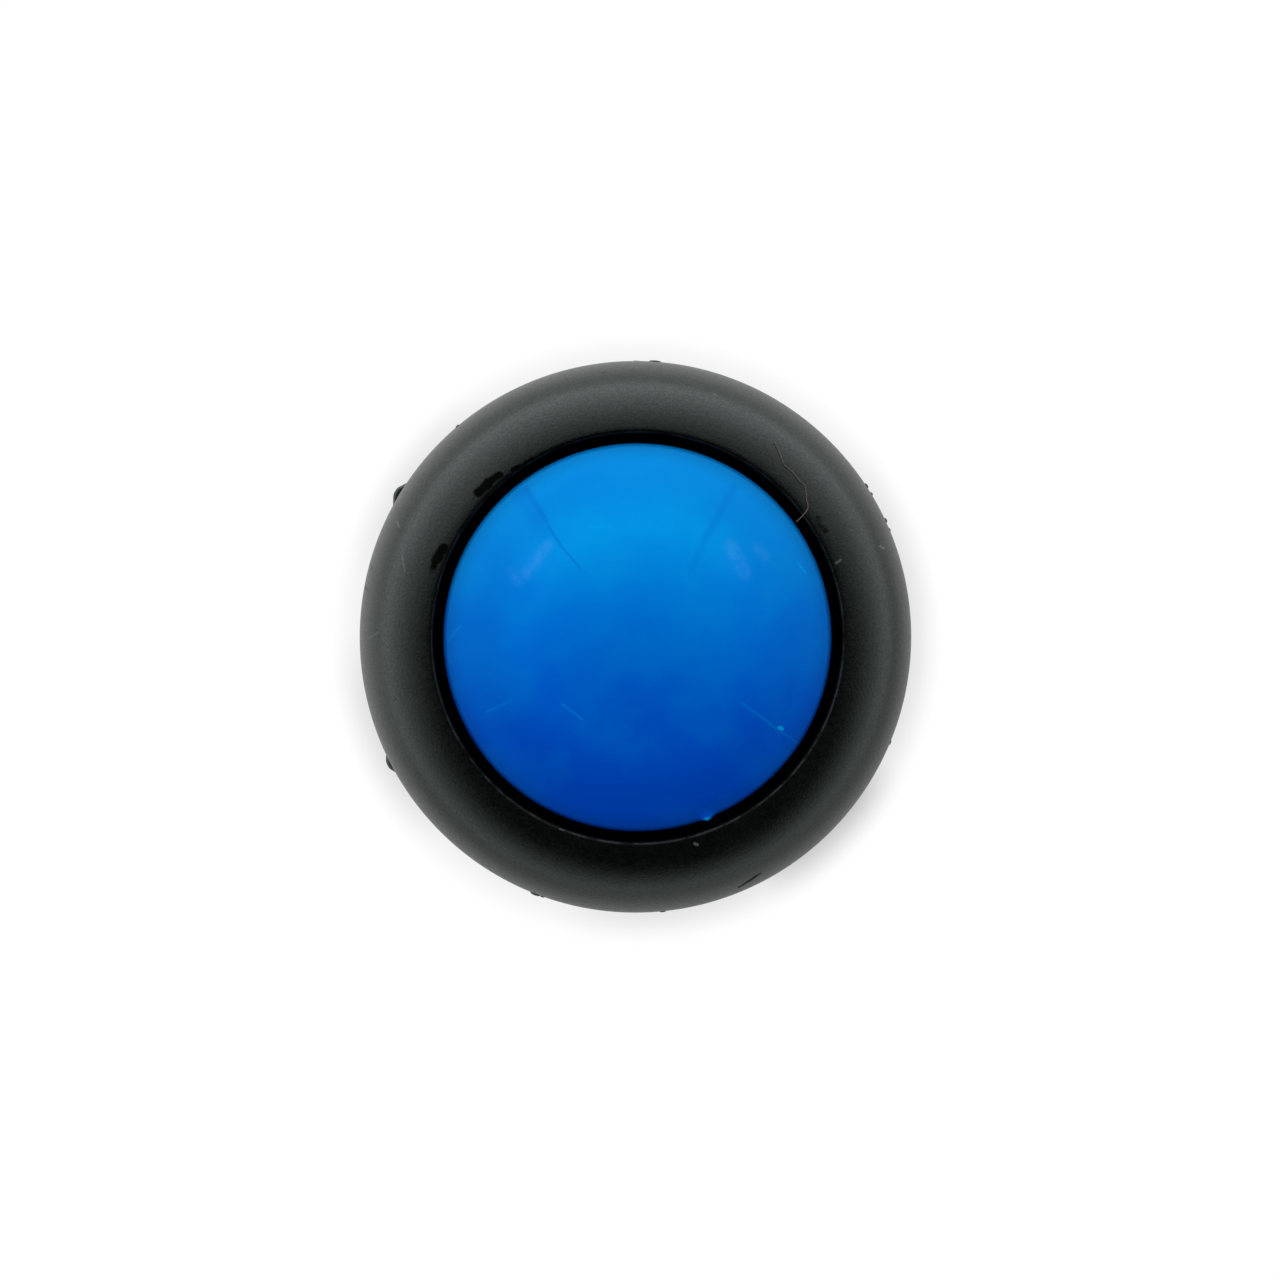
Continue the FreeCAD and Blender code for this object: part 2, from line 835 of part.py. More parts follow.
# Leaf spring behind the wire, its foot in the base's notch
leaf_strip = block(
    "leaf_strip",
    "leaf_width / 2",
    "leaf_inner",
    "leaf_outer",
    "base_floor - leaf_foot",
    "base_floor + leaf_rise",
)
leaf_eye = cross_rod("leaf_eye", "leaf_hole / 2", "wire_line", "guide_bore", "pivot_line")
cut("latch_leaf", leaf_strip, leaf_eye)

NODES = [
    "bezel_housing",
    "panel_gasket",
    "hex_nut",
    "button_cap",
    "plunger",
    "plunger_seal",
    "return_spring",
    "contact_spring",
    "contact_disc",
    "terminal_base",
    "fixed_contact_left",
    "fixed_contact_right",
    "terminal_left",
    "terminal_right",
    "latch_wire",
    "latch_leaf",
]

doc.recompute()
for thing in doc.Objects:
    if "Invalid" in thing.State or "Error" in thing.State:
        raise RuntimeError("%s did not build: %s" % (thing.Name, thing.State))
os.makedirs("parts", exist_ok=True)
for node in NODES:
    part = doc.getObject(node)
    part.Label = node
    shape = part.Shape
    if shape.isNull() or not shape.isValid() or len(shape.Solids) != 1:
        raise RuntimeError("%s is not one sound solid" % node)
    shape.exportStep("parts/%s.step" % node)
    box = shape.BoundBox
    print("%-20s %9.3f mm3  z %7.3f to %7.3f" % (node, shape.Volume, box.ZMin, box.ZMax))
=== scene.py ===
import math

import bmesh
import bpy
from mathutils import Matrix, Vector


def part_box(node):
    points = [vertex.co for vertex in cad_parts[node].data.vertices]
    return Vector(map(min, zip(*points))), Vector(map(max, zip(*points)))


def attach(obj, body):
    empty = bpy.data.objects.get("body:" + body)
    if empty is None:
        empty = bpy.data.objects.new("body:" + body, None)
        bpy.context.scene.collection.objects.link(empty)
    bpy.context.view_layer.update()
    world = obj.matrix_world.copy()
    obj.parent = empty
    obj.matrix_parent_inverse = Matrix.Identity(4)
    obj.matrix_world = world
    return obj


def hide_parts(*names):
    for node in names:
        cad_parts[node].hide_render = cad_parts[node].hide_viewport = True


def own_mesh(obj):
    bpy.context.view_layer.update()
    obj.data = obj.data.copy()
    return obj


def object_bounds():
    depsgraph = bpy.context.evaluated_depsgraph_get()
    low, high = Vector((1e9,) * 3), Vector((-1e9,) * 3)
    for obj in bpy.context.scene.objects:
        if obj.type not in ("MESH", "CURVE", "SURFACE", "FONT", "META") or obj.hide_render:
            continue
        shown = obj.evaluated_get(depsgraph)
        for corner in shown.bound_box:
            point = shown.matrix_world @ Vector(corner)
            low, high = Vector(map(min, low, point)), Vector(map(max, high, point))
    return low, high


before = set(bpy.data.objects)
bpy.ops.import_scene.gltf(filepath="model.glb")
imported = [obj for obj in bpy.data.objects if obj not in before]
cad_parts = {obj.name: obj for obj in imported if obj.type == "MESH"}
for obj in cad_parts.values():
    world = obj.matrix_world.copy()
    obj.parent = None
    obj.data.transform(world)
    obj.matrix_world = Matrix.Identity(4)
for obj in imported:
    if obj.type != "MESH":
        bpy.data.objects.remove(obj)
cad_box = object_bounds()


# Camera: it looks straight down on the button from far off, leaning a little to the left,
# so that the bezel hides all of the nut but two corners on that side.
MM = 0.001
PHOTO_SIZE = 1280
LENS_MM = 176.0
SENSOR_MM = 36.0
CAMERA_AIM = Vector((0.125, -0.089, 2.0))
CAMERA_DISTANCE = 176.0
CAMERA_LEAN_LEFT = math.radians(1.6)
CAMERA_LEAN_UP = math.radians(0.5)
CLIP_NEAR = 10.0
CLIP_FAR = 2000.0

sight = Vector((-math.tan(CAMERA_LEAN_LEFT), math.tan(CAMERA_LEAN_UP), 1.0)).normalized()
camera_place = CAMERA_AIM + sight * CAMERA_DISTANCE
camera_right = Vector((0, 1, 0)).cross(sight).normalized()
camera_up = sight.cross(camera_right)
camera_data = bpy.data.cameras.new("camera")
camera_data.lens = LENS_MM
camera_data.sensor_width = SENSOR_MM
camera_data.clip_start = CLIP_NEAR * MM
camera_data.clip_end = CLIP_FAR * MM
camera = bpy.data.objects.new("camera", camera_data)
camera_turn = Matrix((camera_right, camera_up, sight)).transposed().to_4x4()
camera.matrix_world = Matrix.Translation(camera_place * MM) @ camera_turn
bpy.context.scene.collection.objects.link(camera)
bpy.context.scene.camera = camera


def seen_at(across, down, height):
    """The point at a height above the panel (mm) that shows at a pixel of the picture."""
    pixels_per_unit = PHOTO_SIZE * LENS_MM / SENSOR_MM
    middle = PHOTO_SIZE / 2
    ray = camera_right * (across - middle) + camera_up * (middle - down) - sight * pixels_per_unit
    return camera_place + ray * ((height - camera_place.z) / ray.z)


# Bezel and barrel: one black moulding with a fine matt grain. The crown rolls from the lip to
# the rim, the barrel has a right-hand thread outside and a keyway and a wire hole inside, and
# moulding flash is left along the rim.
BEZEL_RADIUS = 7.75
BEZEL_FOOT = 0.8
EDGE_ROUND = 0.35
EDGE_STEPS = 6
LAND_HEIGHT = 1.0
CROWN_ROUND = 2.27
CROWN_STEPS = 40
LIP_ROUND = 0.1
LIP_START = 95
LIP_STEPS = 8
WELL_RADIUS = 5.675
WELL_DEPTH = 3.1
STEM_BORE = 3.9
COLLAR_LENGTH = 3.5
GUIDE_BORE = 4.6
BARREL_FOOT = -15.0
BARREL_CHAMFER = 0.4
NECK_FOOT = -0.8
NECK_RELIEF = 0.2
THREAD_TOP = -1.4
THREAD_RADIUS = 5.9
THREAD_RELIEF = 0.5
THREAD_PITCH = 1.0
THREAD_DEPTH = 0.46
THREAD_FLAT = 0.16
THREAD_START = -15.9
THREAD_TURNS = range(-1, 15)
THREAD_ROWS = (0.05, 0.10, 0.25, 0.40, 0.45, 0.55, 0.60, 0.75, 0.90, 0.95)
HOUSING_SEGMENTS = 288
KEYWAY_HALF_WIDTH = 0.7
KEYWAY_REACH = 5.0
KEYWAY_CLEAR = 0.02
PIVOT_RADIUS = 0.32
PIVOT_REACH = 5.2
PIVOT_HEIGHT = -12.6
PIVOT_SIDES = 32
OVERCUT = 0.5
WELD = 0.0001
SHARP_EDGE = 32
BEZEL_BLACK = (0.0016, 0.0024, 0.0022, 1)
BEZEL_BLACK_WORN = (0.0030, 0.0039, 0.0036, 1)
RUBBED_BLACK = (0.001, 0.0012, 0.0012, 1)

crown_line = BEZEL_FOOT + EDGE_ROUND + LAND_HEIGHT
crown_middle = BEZEL_RADIUS - CROWN_ROUND
lip_edge = WELL_RADIUS + LIP_ROUND


def crown_height(radius):
    """How high the crown stands at a radius."""
    return crown_line + math.sqrt(CROWN_ROUND ** 2 - (radius - crown_middle) ** 2)


crest = crown_height(lip_edge)
well_floor = crest - WELL_DEPTH
shoulder = well_floor - COLLAR_LENGTH


def bow(middle, radius, start, end, steps):
    """Points along an arc of an outline, from one angle to another in degrees."""
    angles = [math.radians(start + (end - start) * i / steps) for i in range(steps + 1)]
    return [(middle[0] + radius * math.cos(a), middle[1] + radius * math.sin(a)) for a in angles]


def around_axis(angle, radius, height):
    """A point in metres, from an angle about the push axis and a radius and height in mm."""
    return radius * math.cos(angle) * MM, radius * math.sin(angle) * MM, height * MM


def mesh_of(name, corners, faces):
    """A mesh made of corners and faces."""
    mesh = bpy.data.meshes.new(name)
    mesh.from_pydata(corners, [], faces)
    return mesh


def smooth(mesh, sharp_edge=SHARP_EDGE):
    """Shade a mesh smooth, except over edges sharper than an angle."""
    mesh.shade_smooth()
    mesh.set_sharp_from_angle(angle=math.radians(sharp_edge))
    return mesh


def turned_mesh(name, outline, segments, shape=None, closed=True):
    """A mesh turned about the push axis from (radius, height) points, each bent by shape."""
    rings = []
    corners = []
    for radius, height in outline:
        ring = []
        for i in range(segments if radius > 0 else 1):
            angle = 2 * math.pi * i / segments
            bent_to = shape(angle, radius, height) if shape else (radius, height)
            ring.append(len(corners))
            corners.append(around_axis(angle, *bent_to))
        rings.append(ring)
    faces = []
    for low, high in zip(rings, rings[1:] + (rings[:1] if closed else [])):
        if len(low) == 1 and len(high) == 1:
            continue
        for i in range(segments):
            quad = [low[i % len(low)], low[(i + 1) % len(low)]]
            quad += [high[(i + 1) % len(high)], high[i % len(high)]]
            faces.append(list(dict.fromkeys(quad)))
    return smooth(mesh_of(name, corners, faces))


def place(name, mesh, body, material, stands_for=None):
    """Add a piece that rides on a body and, where one is named, stands for a CAD node."""
    piece = bpy.data.objects.new(name, mesh)
    bpy.context.scene.collection.objects.link(piece)
    mesh.materials.append(material)
    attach(piece, body)
    if stands_for:
        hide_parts(stands_for)
    return piece


def thread_wave(angle, height):
    """0 at the root and 1 at the crest of a right-hand thread."""
    turns = (height - THREAD_START) / THREAD_PITCH - angle / (2 * math.pi)
    from_root = 2 * abs(turns - round(turns))
    return min(max((from_root - THREAD_FLAT) / (1 - 2 * THREAD_FLAT), 0.0), 1.0)


def housing_shape(angle, radius, height):
    """Cut the thread and the chamfer into the barrel."""
    if radius != THREAD_RADIUS or height > THREAD_TOP:
        return radius, height
    chamfer = radius - BARREL_CHAMFER + height - BARREL_FOOT
    return min(radius - THREAD_DEPTH * (1 - thread_wave(angle, height)), chamfer), height


edge_middle = (BEZEL_RADIUS - EDGE_ROUND, BEZEL_FOOT + EDGE_ROUND)
lean = math.degrees(math.acos((lip_edge - crown_middle) / CROWN_ROUND))
housing_outline = [
    (THREAD_RADIUS, THREAD_TOP),
    (THREAD_RADIUS - THREAD_RELIEF, THREAD_TOP),
    (THREAD_RADIUS - THREAD_RELIEF, NECK_FOOT),
    (THREAD_RADIUS, NECK_FOOT),
    (THREAD_RADIUS, 0.0),
    (THREAD_RADIUS - NECK_RELIEF, 0.0),
    (THREAD_RADIUS - NECK_RELIEF, BEZEL_FOOT),
]
housing_outline += bow(edge_middle, EDGE_ROUND, -90, 0, EDGE_STEPS)
housing_outline += bow((crown_middle, crown_line), CROWN_ROUND, 0, lean, CROWN_STEPS)
housing_outline += bow((lip_edge, crest - LIP_ROUND), LIP_ROUND, LIP_START, 180, LIP_STEPS)
housing_outline += [
    (WELL_RADIUS, well_floor),
    (STEM_BORE, well_floor),
    (STEM_BORE, shoulder),
    (GUIDE_BORE, shoulder),
    (GUIDE_BORE, BARREL_FOOT),
    (THREAD_RADIUS, BARREL_FOOT),
]


def add_thread(mesh):
    """Close the barrel's open side with rows that climb along the thread."""
    build = bmesh.new()
    build.from_mesh(mesh)
    rows = []
    for phase in [turn + row for turn in THREAD_TURNS for row in THREAD_ROWS]:
        corners = []
        for i in range(HOUSING_SEGMENTS + 1):
            share = i / HOUSING_SEGMENTS
            angle = 2 * math.pi * share
            height = THREAD_START + THREAD_PITCH * (phase + share)
            height = min(max(height, BARREL_FOOT), THREAD_TOP)
            corner = around_axis(angle, *housing_shape(angle, THREAD_RADIUS, height))
            corners.append(build.verts.new(corner))
        rows.append(corners)
    for low, high in zip(rows, rows[1:]):
        for i in range(HOUSING_SEGMENTS):
            build.faces.new((low[i], low[i + 1], high[i + 1], high[i]))
    bmesh.ops.remove_doubles(build, verts=build.verts[:], dist=WELD * MM)
    bmesh.ops.recalc_face_normals(build, faces=build.faces[:])
    build.to_mesh(mesh)
    build.free()
    smooth(mesh)


def prism_mesh(name, outline, low, high):
    """A closed prism on an outline, between two heights."""
    count = len(outline)
    corners = [(x * MM, y * MM, z * MM) for z in (low, high) for x, y in outline]
    faces = [tuple(reversed(range(count))), tuple(range(count, 2 * count))]
    for i in range(count):
        beside = (i + 1) % count
        faces.append((i, beside, beside + count, i + count))
    return mesh_of(name, corners, faces)


def cut_out(mesh, tool_mesh):
    """What is left of a mesh when a tool's shape is cut out of it."""
    blank = bpy.data.objects.new("blank", mesh)
    tool = bpy.data.objects.new("tool", tool_mesh)
    for piece in (blank, tool):
        bpy.context.scene.collection.objects.link(piece)
    cut = blank.modifiers.new("cut", "BOOLEAN")
    cut.operation = "DIFFERENCE"
    cut.solver = "EXACT"
    cut.object = tool
    shown = blank.evaluated_get(bpy.context.evaluated_depsgraph_get())
    left = bpy.data.meshes.new_from_object(shown)
    for piece in (blank, tool):
        bpy.data.objects.remove(piece)
    return smooth(left)


def new_material(name):
    """A material with one shader, and the means to add nodes to it."""
    material = bpy.data.materials.new(name)
    material.use_nodes = True
    return material, material.node_tree, material.node_tree.nodes["Principled BSDF"]


def node(tree, kind, links=None, **values):
    """Add a node, set its properties, and feed its inputs with sockets or values."""
    made = tree.nodes.new(kind)
    for key, value in values.items():
        setattr(made, key, value)
    for key, value in (links or {}).items():
        if isinstance(value, bpy.types.NodeSocket):
            tree.links.new(value, made.inputs[key])
        else:
            made.inputs[key].default_value = value
    return made


GIVES_NUMBER = ("DISTANCE", "DOT_PRODUCT", "LENGTH")
FLATTEN = (1, 1, 0)


def reckon(tree, operation, *values, **settings):
    """A sum, a product or the like of numbers."""
    links = dict(enumerate(values))
    return node(tree, "ShaderNodeMath", links, operation=operation, **settings).outputs[0]


def reckon_vector(tree, operation, *values):
    """The same for places and directions, where some operations give a number."""
    made = node(tree, "ShaderNodeVectorMath", dict(enumerate(values)), operation=operation)
    return made.outputs["Value" if operation in GIVES_NUMBER else "Vector"]


def own_place(tree):
    """Where a point of the surface lies on the part."""
    return node(tree, "ShaderNodeTexCoord").outputs["Object"]


def own_height(tree):
    """How high a point of the surface lies."""
    return node(tree, "ShaderNodeSeparateXYZ", {0: own_place(tree)}).outputs["Z"]


def own_reach(tree):
    """How far a point of the surface lies from the push axis."""
    return reckon_vector(tree, "LENGTH", reckon_vector(tree, "MULTIPLY", own_place(tree), FLATTEN))


def between(tree, value, low, high, to_low=0.0, to_high=1.0):
    """Stretch a value from one range to another, held at the ends."""
    links = {0: value, 1: low, 2: high, 3: to_low, 4: to_high}
    return node(tree, "ShaderNodeMapRange", links, interpolation_type="SMOOTHSTEP").outputs[0]


def between_mm(tree, length, low, high, to_low=0.0, to_high=1.0):
    """The same for a length, whose first range is in mm."""
    return between(tree, length, low * MM, high * MM, to_low, to_high)


def grain(tree, size_mm, detail=3.0, roughness=0.5):
    """Noise with features of about the given size."""
    links = {"Vector": own_place(tree), "Scale": 1 / (size_mm * MM)}
    links.update({"Detail": detail, "Roughness": roughness})
    return node(tree, "ShaderNodeTexNoise", links).outputs["Fac"]


def patches(tree, size_mm, span=(0.3, 0.7), to=(0.0, 1.0), detail=3.0, roughness=0.5):
    """Patches of about the given size: noise with a span of it stretched to another range."""
    return between(tree, grain(tree, size_mm, detail, roughness), *span, *to)


def blend_numbers(tree, share, first, second):
    """Mix two numbers by a share."""
    return node(tree, "ShaderNodeMix", {0: share, 2: first, 3: second}).outputs[0]


def blend_colours(tree, share, first, second):
    """Mix two colours by a share."""
    mixer = node(tree, "ShaderNodeMix", {0: share, 6: first, 7: second}, data_type="RGBA")
    return mixer.outputs[2]


def dress(tree, shader, tone, roughness):
    """Give a shader its colour and its roughness."""
    tree.links.new(tone, shader.inputs["Base Color"])
    tree.links.new(roughness, shader.inputs["Roughness"])


def emboss(tree, shader, strength, depth_mm, relief):
    """Give a shader a fine relief."""
    links = {"Strength": strength, "Distance": depth_mm * MM, "Height": relief}
    tree.links.new(node(tree, "ShaderNodeBump", links).outputs[0], shader.inputs["Normal"])


def stroke_group():
    """A node group that gives 1 along a straight stroke in the XY plane and fades beside it."""
    tree = bpy.data.node_groups.new("stroke", "ShaderNodeTree")
    sockets = {"Start": "Vector", "End": "Vector", "Width": "Float", "Fade": "Float"}
    for label, kind in sockets.items():
        tree.interface.new_socket(label, in_out="INPUT", socket_type="NodeSocket" + kind)
    tree.interface.new_socket("Mask", in_out="OUTPUT", socket_type="NodeSocketFloat")
    given = tree.nodes.new("NodeGroupInput").outputs
    spot = reckon_vector(tree, "MULTIPLY", own_place(tree), FLATTEN)
    run = reckon_vector(tree, "SUBTRACT", given["End"], given["Start"])
    offset = reckon_vector(tree, "SUBTRACT", spot, given["Start"])
    reach = reckon_vector(tree, "DOT_PRODUCT", offset, run)
    square = reckon_vector(tree, "DOT_PRODUCT", run, run)
    share = reckon(tree, "DIVIDE", reach, square, use_clamp=True)
    scaled = {0: run, "Scale": share}
    foot = node(tree, "ShaderNodeVectorMath", scaled, operation="SCALE").outputs[0]
    gap = reckon_vector(tree, "DISTANCE", offset, foot)
    outer = reckon(tree, "ADD", given["Width"], given["Fade"])
    mask = between(tree, gap, given["Width"], outer, 1.0, 0.0)
    tree.links.new(mask, tree.nodes.new("NodeGroupOutput").inputs["Mask"])
    return tree


STROKE = stroke_group()
SHORTEST_STROKE = 0.02
MARK_FADE = 0.1


def strokes(tree, marks, height, lowest):
    """The strongest of several strokes, each given by two pixels, a width, a fade and a strength.

    They show only where the surface stands above the lowest height.
    """
    total = 0.0
    for x0, y0, x1, y1, width, fade, strength in marks:
        start = seen_at(x0, y0, height)
        end = seen_at(x1, y1, height) + Vector((SHORTEST_STROKE, 0, 0))
        links = {"Width": width * MM, "Fade": fade * MM}
        links["Start"] = (start.x * MM, start.y * MM, 0)
        links["End"] = (end.x * MM, end.y * MM, 0)
        mask = node(tree, "ShaderNodeGroup", links, node_tree=STROKE).outputs["Mask"]
        total = reckon(tree, "MAXIMUM", reckon(tree, "MULTIPLY", mask, strength), total)
    above = between_mm(tree, own_height(tree), lowest - MARK_FADE, lowest)
    return reckon(tree, "MULTIPLY", total, above)


# Marks on the crown: rubbed dark places near the lip, a crack, and pale dust
RUBBED_MARKS = [
    (478, 493, 487, 484, 0.06, 0.15, 1.1),
    (488, 482, 499, 475, 0.05, 0.13, 1.1),
    (436, 560, 443, 549, 0.06, 0.16, 1.1),
    (431, 572, 435, 563, 0.03, 0.14, 0.7),
    (513, 470, 520, 466, 0.04, 0.06, 0.9),
    (526, 463, 531, 460, 0.05, 0.05, 0.9),
    (541, 454, 547, 452, 0.03, 0.05, 0.7),
    (817, 519, 823, 531, 0.03, 0.16, 0.6),
    (740, 889, 750, 882, 0.018, 0.03, 1.0),
    (749, 883, 757, 877, 0.022, 0.03, 1.0),
    (757, 877, 762, 874, 0.010, 0.03, 0.9),
    (600, 372, 607, 371, 0.02, 0.05, 0.6),
    (369, 560, 371, 572, 0.02, 0.05, 0.5),
    (364, 586, 366, 590, 0.02, 0.05, 0.6),
]
DUST_MARKS = [
    (694, 843, 696, 844, 0.020, 0.04, 0.30),
    (835, 563, 839, 560, 0.012, 0.04, 0.25),
    (560, 828, 563, 829, 0.015, 0.04, 0.20),
    (881, 546, 884, 548, 0.012, 0.04, 0.25),
    (397, 522, 398, 527, 0.008, 0.03, 0.20),
    (402, 555, 404, 572, 0.006, 0.025, 0.14),
    (714, 394, 716, 395, 0.010, 0.03, 0.14),
    (369, 638, 378, 632, 0.006, 0.025, 0.14),
]
MARK_HEIGHT = 3.9
MARK_LOWEST = 2.6
DUST_GREY = (0.24, 0.27, 0.26, 1)
MOULDING_SHEEN = (0.84, 1.0, 0.96, 1)
MOULDING_SHINE = (0.37, 0.47)
MOULDING_ROUGH = (0.22, 0.32)
RUBBED_SHINE = 0.03
RUBBED_RAGGED = 0.22
RUBBED_FULL = 0.95
LIP_SHINE = (0.02, 0.22)
WALL_SHINE = 0.08

black_moulding, tree, shader = new_material("black_moulding")
reach = own_reach(tree)
level = own_height(tree)
off_wall = between_mm(tree, reach, WELL_RADIUS + LIP_ROUND / 4, WELL_RADIUS + LIP_ROUND / 2)
rubbed = strokes(tree, RUBBED_MARKS, MARK_HEIGHT, MARK_LOWEST)
rubbed = reckon(tree, "MULTIPLY", rubbed, off_wall)
torn = (-RUBBED_RAGGED, RUBBED_RAGGED)
ragged = patches(tree, size_mm=0.24, span=(0.25, 0.75), to=torn, detail=1.0, roughness=0.4)
rubbed = between(tree, reckon(tree, "ADD", rubbed, ragged), RUBBED_RAGGED, RUBBED_FULL)
dust = strokes(tree, DUST_MARKS, MARK_HEIGHT, MARK_LOWEST)
dust = reckon(tree, "MULTIPLY", dust, off_wall)
wear = patches(tree, size_mm=1.3, span=(0.35, 0.7), detail=5.0, roughness=0.6)
tone = blend_colours(tree, wear, BEZEL_BLACK, BEZEL_BLACK_WORN)
tone = blend_colours(tree, rubbed, tone, RUBBED_BLACK)
tone = blend_colours(tree, dust, tone, DUST_GREY)
dress(tree, shader, tone, patches(tree, size_mm=0.12, to=MOULDING_ROUGH, detail=4.0, roughness=0.65))
scuffed = patches(tree, size_mm=0.5, span=(0.35, 0.65), to=LIP_SHINE, detail=4.0, roughness=0.6)
at_lip = between_mm(tree, level, crest - 3 * LIP_ROUND, crest - LIP_ROUND)
scuffed = blend_numbers(tree, at_lip, WALL_SHINE, scuffed)
past_lip = between_mm(tree, reach, lip_edge - LIP_ROUND / 2, lip_edge + LIP_ROUND / 2)
below_lip = between_mm(tree, level, crown_line, MARK_LOWEST, 1.0, 0.0)
off_lip = reckon(tree, "MAXIMUM", past_lip, below_lip)
mottle = patches(tree, size_mm=0.07, span=(0.35, 0.65), to=MOULDING_SHINE, detail=2.0, roughness=0.6)
shine = blend_numbers(tree, off_lip, scuffed, mottle)
shine = blend_numbers(tree, rubbed, shine, RUBBED_SHINE)
tree.links.new(shine, shader.inputs["Specular IOR Level"])
shader.inputs["Specular Tint"].default_value = MOULDING_SHEEN
relief = grain(tree, size_mm=0.06, detail=2.0, roughness=0.6)
emboss(tree, shader, strength=0.5, depth_mm=0.010, relief=relief)

housing_mesh = turned_mesh(
    "bezel_housing_mesh", housing_outline, HOUSING_SEGMENTS, housing_shape, closed=False
)
add_thread(housing_mesh)
keyway_outline = [
    (-KEYWAY_HALF_WIDTH, -KEYWAY_REACH),
    (KEYWAY_HALF_WIDTH, -KEYWAY_REACH),
    (KEYWAY_HALF_WIDTH, -STEM_BORE),
    (-KEYWAY_HALF_WIDTH, -STEM_BORE),
]
keyway = prism_mesh("keyway", keyway_outline, BARREL_FOOT - OVERCUT, shoulder - KEYWAY_CLEAR)
housing_mesh = cut_out(housing_mesh, keyway)
pivot_outline = bow((0.0, 0.0), PIVOT_RADIUS, 0, 360, PIVOT_SIDES)[:-1]
pivot_hole = prism_mesh("pivot_hole", pivot_outline, STEM_BORE, PIVOT_REACH)
pivot_turn = Matrix.Rotation(math.radians(-90), 4, "X")
pivot_hole.transform(Matrix.Translation((0, 0, PIVOT_HEIGHT * MM)) @ pivot_turn)
housing_mesh = cut_out(housing_mesh, pivot_hole)
place(
    "bezel_and_barrel", housing_mesh, "housing", black_moulding, "bezel_housing"
)

# Moulding flash along the rim: where each bead shows, its half length and how far it stands out
RIM_FLASH = [
    (866, 486, 0.09, 0.05),
    (873, 493, 0.06, 0.04),
    (886, 520, 0.08, 0.05),
    (889, 530, 0.06, 0.03),
    (535, 894, 0.16, 0.05),
    (542, 897, 0.07, 0.03),
    (655, 361, 0.18, 0.04),
    (663, 913, 0.10, 0.03),
    (896, 745, 0.08, 0.03),
    (458, 427, 0.07, 0.03),
]
FLASH_TALL = 0.16
FLASH_SIDES = 12
FLASH_RINGS = 7
FLASH_POLE = 0.02


def bead_corner(middle, spread, up, around):
    """A corner of an egg-shaped bead whose long axis runs along the rim."""
    ring = math.sin(up)
    outward = spread.y * ring * math.cos(around)
    along = spread.x * ring * math.sin(around)
    angle = math.atan2(middle.y, middle.x)
    shift = Vector((outward, along, spread.z * math.cos(up)))
    return (middle + Matrix.Rotation(angle, 3, "Z") @ shift) * MM


def tube_faces(first, rings, sides):
    """The faces of a closed tube whose corners go ring by ring, counted from the first one."""
    faces = []
    for ring in range(rings):
        for side in range(sides):
            here = first + ring * sides + side
            beside = first + ring * sides + (side + 1) % sides
            faces.append((here, here + sides, beside + sides, beside))
    last = first + rings * sides
    faces.append(tuple(range(first, first + sides)))
    faces.append(tuple(reversed(range(last, last + sides))))
    return faces


flash_corners = []
flash_faces = []
for across, down, half_length, stand in RIM_FLASH:
    spot = seen_at(across, down, crown_line)
    spot = Vector((spot.x, spot.y, 0)).normalized() * BEZEL_RADIUS + Vector((0, 0, crown_line))
    spread = Vector((half_length, stand, FLASH_TALL))
    flash_faces += tube_faces(len(flash_corners), FLASH_RINGS, FLASH_SIDES)
    for ring in range(FLASH_RINGS + 1):
        up = math.pi * (ring + FLASH_POLE) / (FLASH_RINGS + 2 * FLASH_POLE)
        for side in range(FLASH_SIDES):
            flash_corners.append(bead_corner(spot, spread, up, 2 * math.pi * side / FLASH_SIDES))
flash_mesh = mesh_of("rim_flash_mesh", flash_corners, flash_faces)
flash_mesh.shade_smooth()
place("rim_flash", flash_mesh, "housing", black_moulding)


# Lint: a single brown-grey fibre caught on the crown at the upper right, one end over the gap.
# It lies on the moulding along given points.
LINT_ROUTE = [
    (774, 442), (781, 455), (783, 465), (793, 472), (799, 481), (806, 486),
    (806, 499), (809, 508), (803, 516), (796, 522),
]
LINT_THICK = 0.015
LINT_LIFT = 0.02
LINT_ROUND_STEPS = 2
LINT_ROUGH = 0.8
LINT_BROWN = (0.080, 0.036, 0.028, 1)
LINT_GREY = (0.075, 0.078, 0.062, 1)
SETTLE_ROUNDS = 3
END_WELD = 0.01


def on_crown(across, down):
    """The point of the crown that shows at a pixel."""
    spot = seen_at(across, down, crest)
    for _ in range(SETTLE_ROUNDS):
        radius = max(math.hypot(spot.x, spot.y), lip_edge)
        spot = seen_at(across, down, crown_height(radius))
    return spot


def closed_build(curve, weld):
    """An editable mesh of a bevelled curve, with its caps welded on."""
    shape = bpy.data.objects.new(curve.name, curve)
    build = bmesh.new()
    build.from_mesh(bpy.data.meshes.new_from_object(shape))
    bpy.data.objects.remove(shape)
    bmesh.ops.remove_doubles(build, verts=build.verts[:], dist=weld)
    return build


lint_curve = bpy.data.curves.new("lint_line", "CURVE")
lint_curve.dimensions = "3D"
lint_curve.bevel_depth = LINT_THICK * MM
lint_curve.bevel_resolution = LINT_ROUND_STEPS
lint_curve.use_fill_caps = True
lint_line = lint_curve.splines.new("NURBS")
lint_line.points.add(len(LINT_ROUTE) - 1)
for point, (across, down) in zip(lint_line.points, LINT_ROUTE):
    spot = on_crown(across, down) + Vector((0, 0, LINT_LIFT))
    point.co = (*(spot * MM), 1)
lint_line.order_u = 3
lint_line.use_endpoint_u = True
lint_build = closed_build(lint_curve, LINT_THICK * END_WELD * MM)
lint_mesh = bpy.data.meshes.new("lint_mesh")
lint_build.to_mesh(lint_mesh)
lint_build.free()
lint_mesh.shade_smooth()
lint_fibre, tree, shader = new_material("lint_fibre")
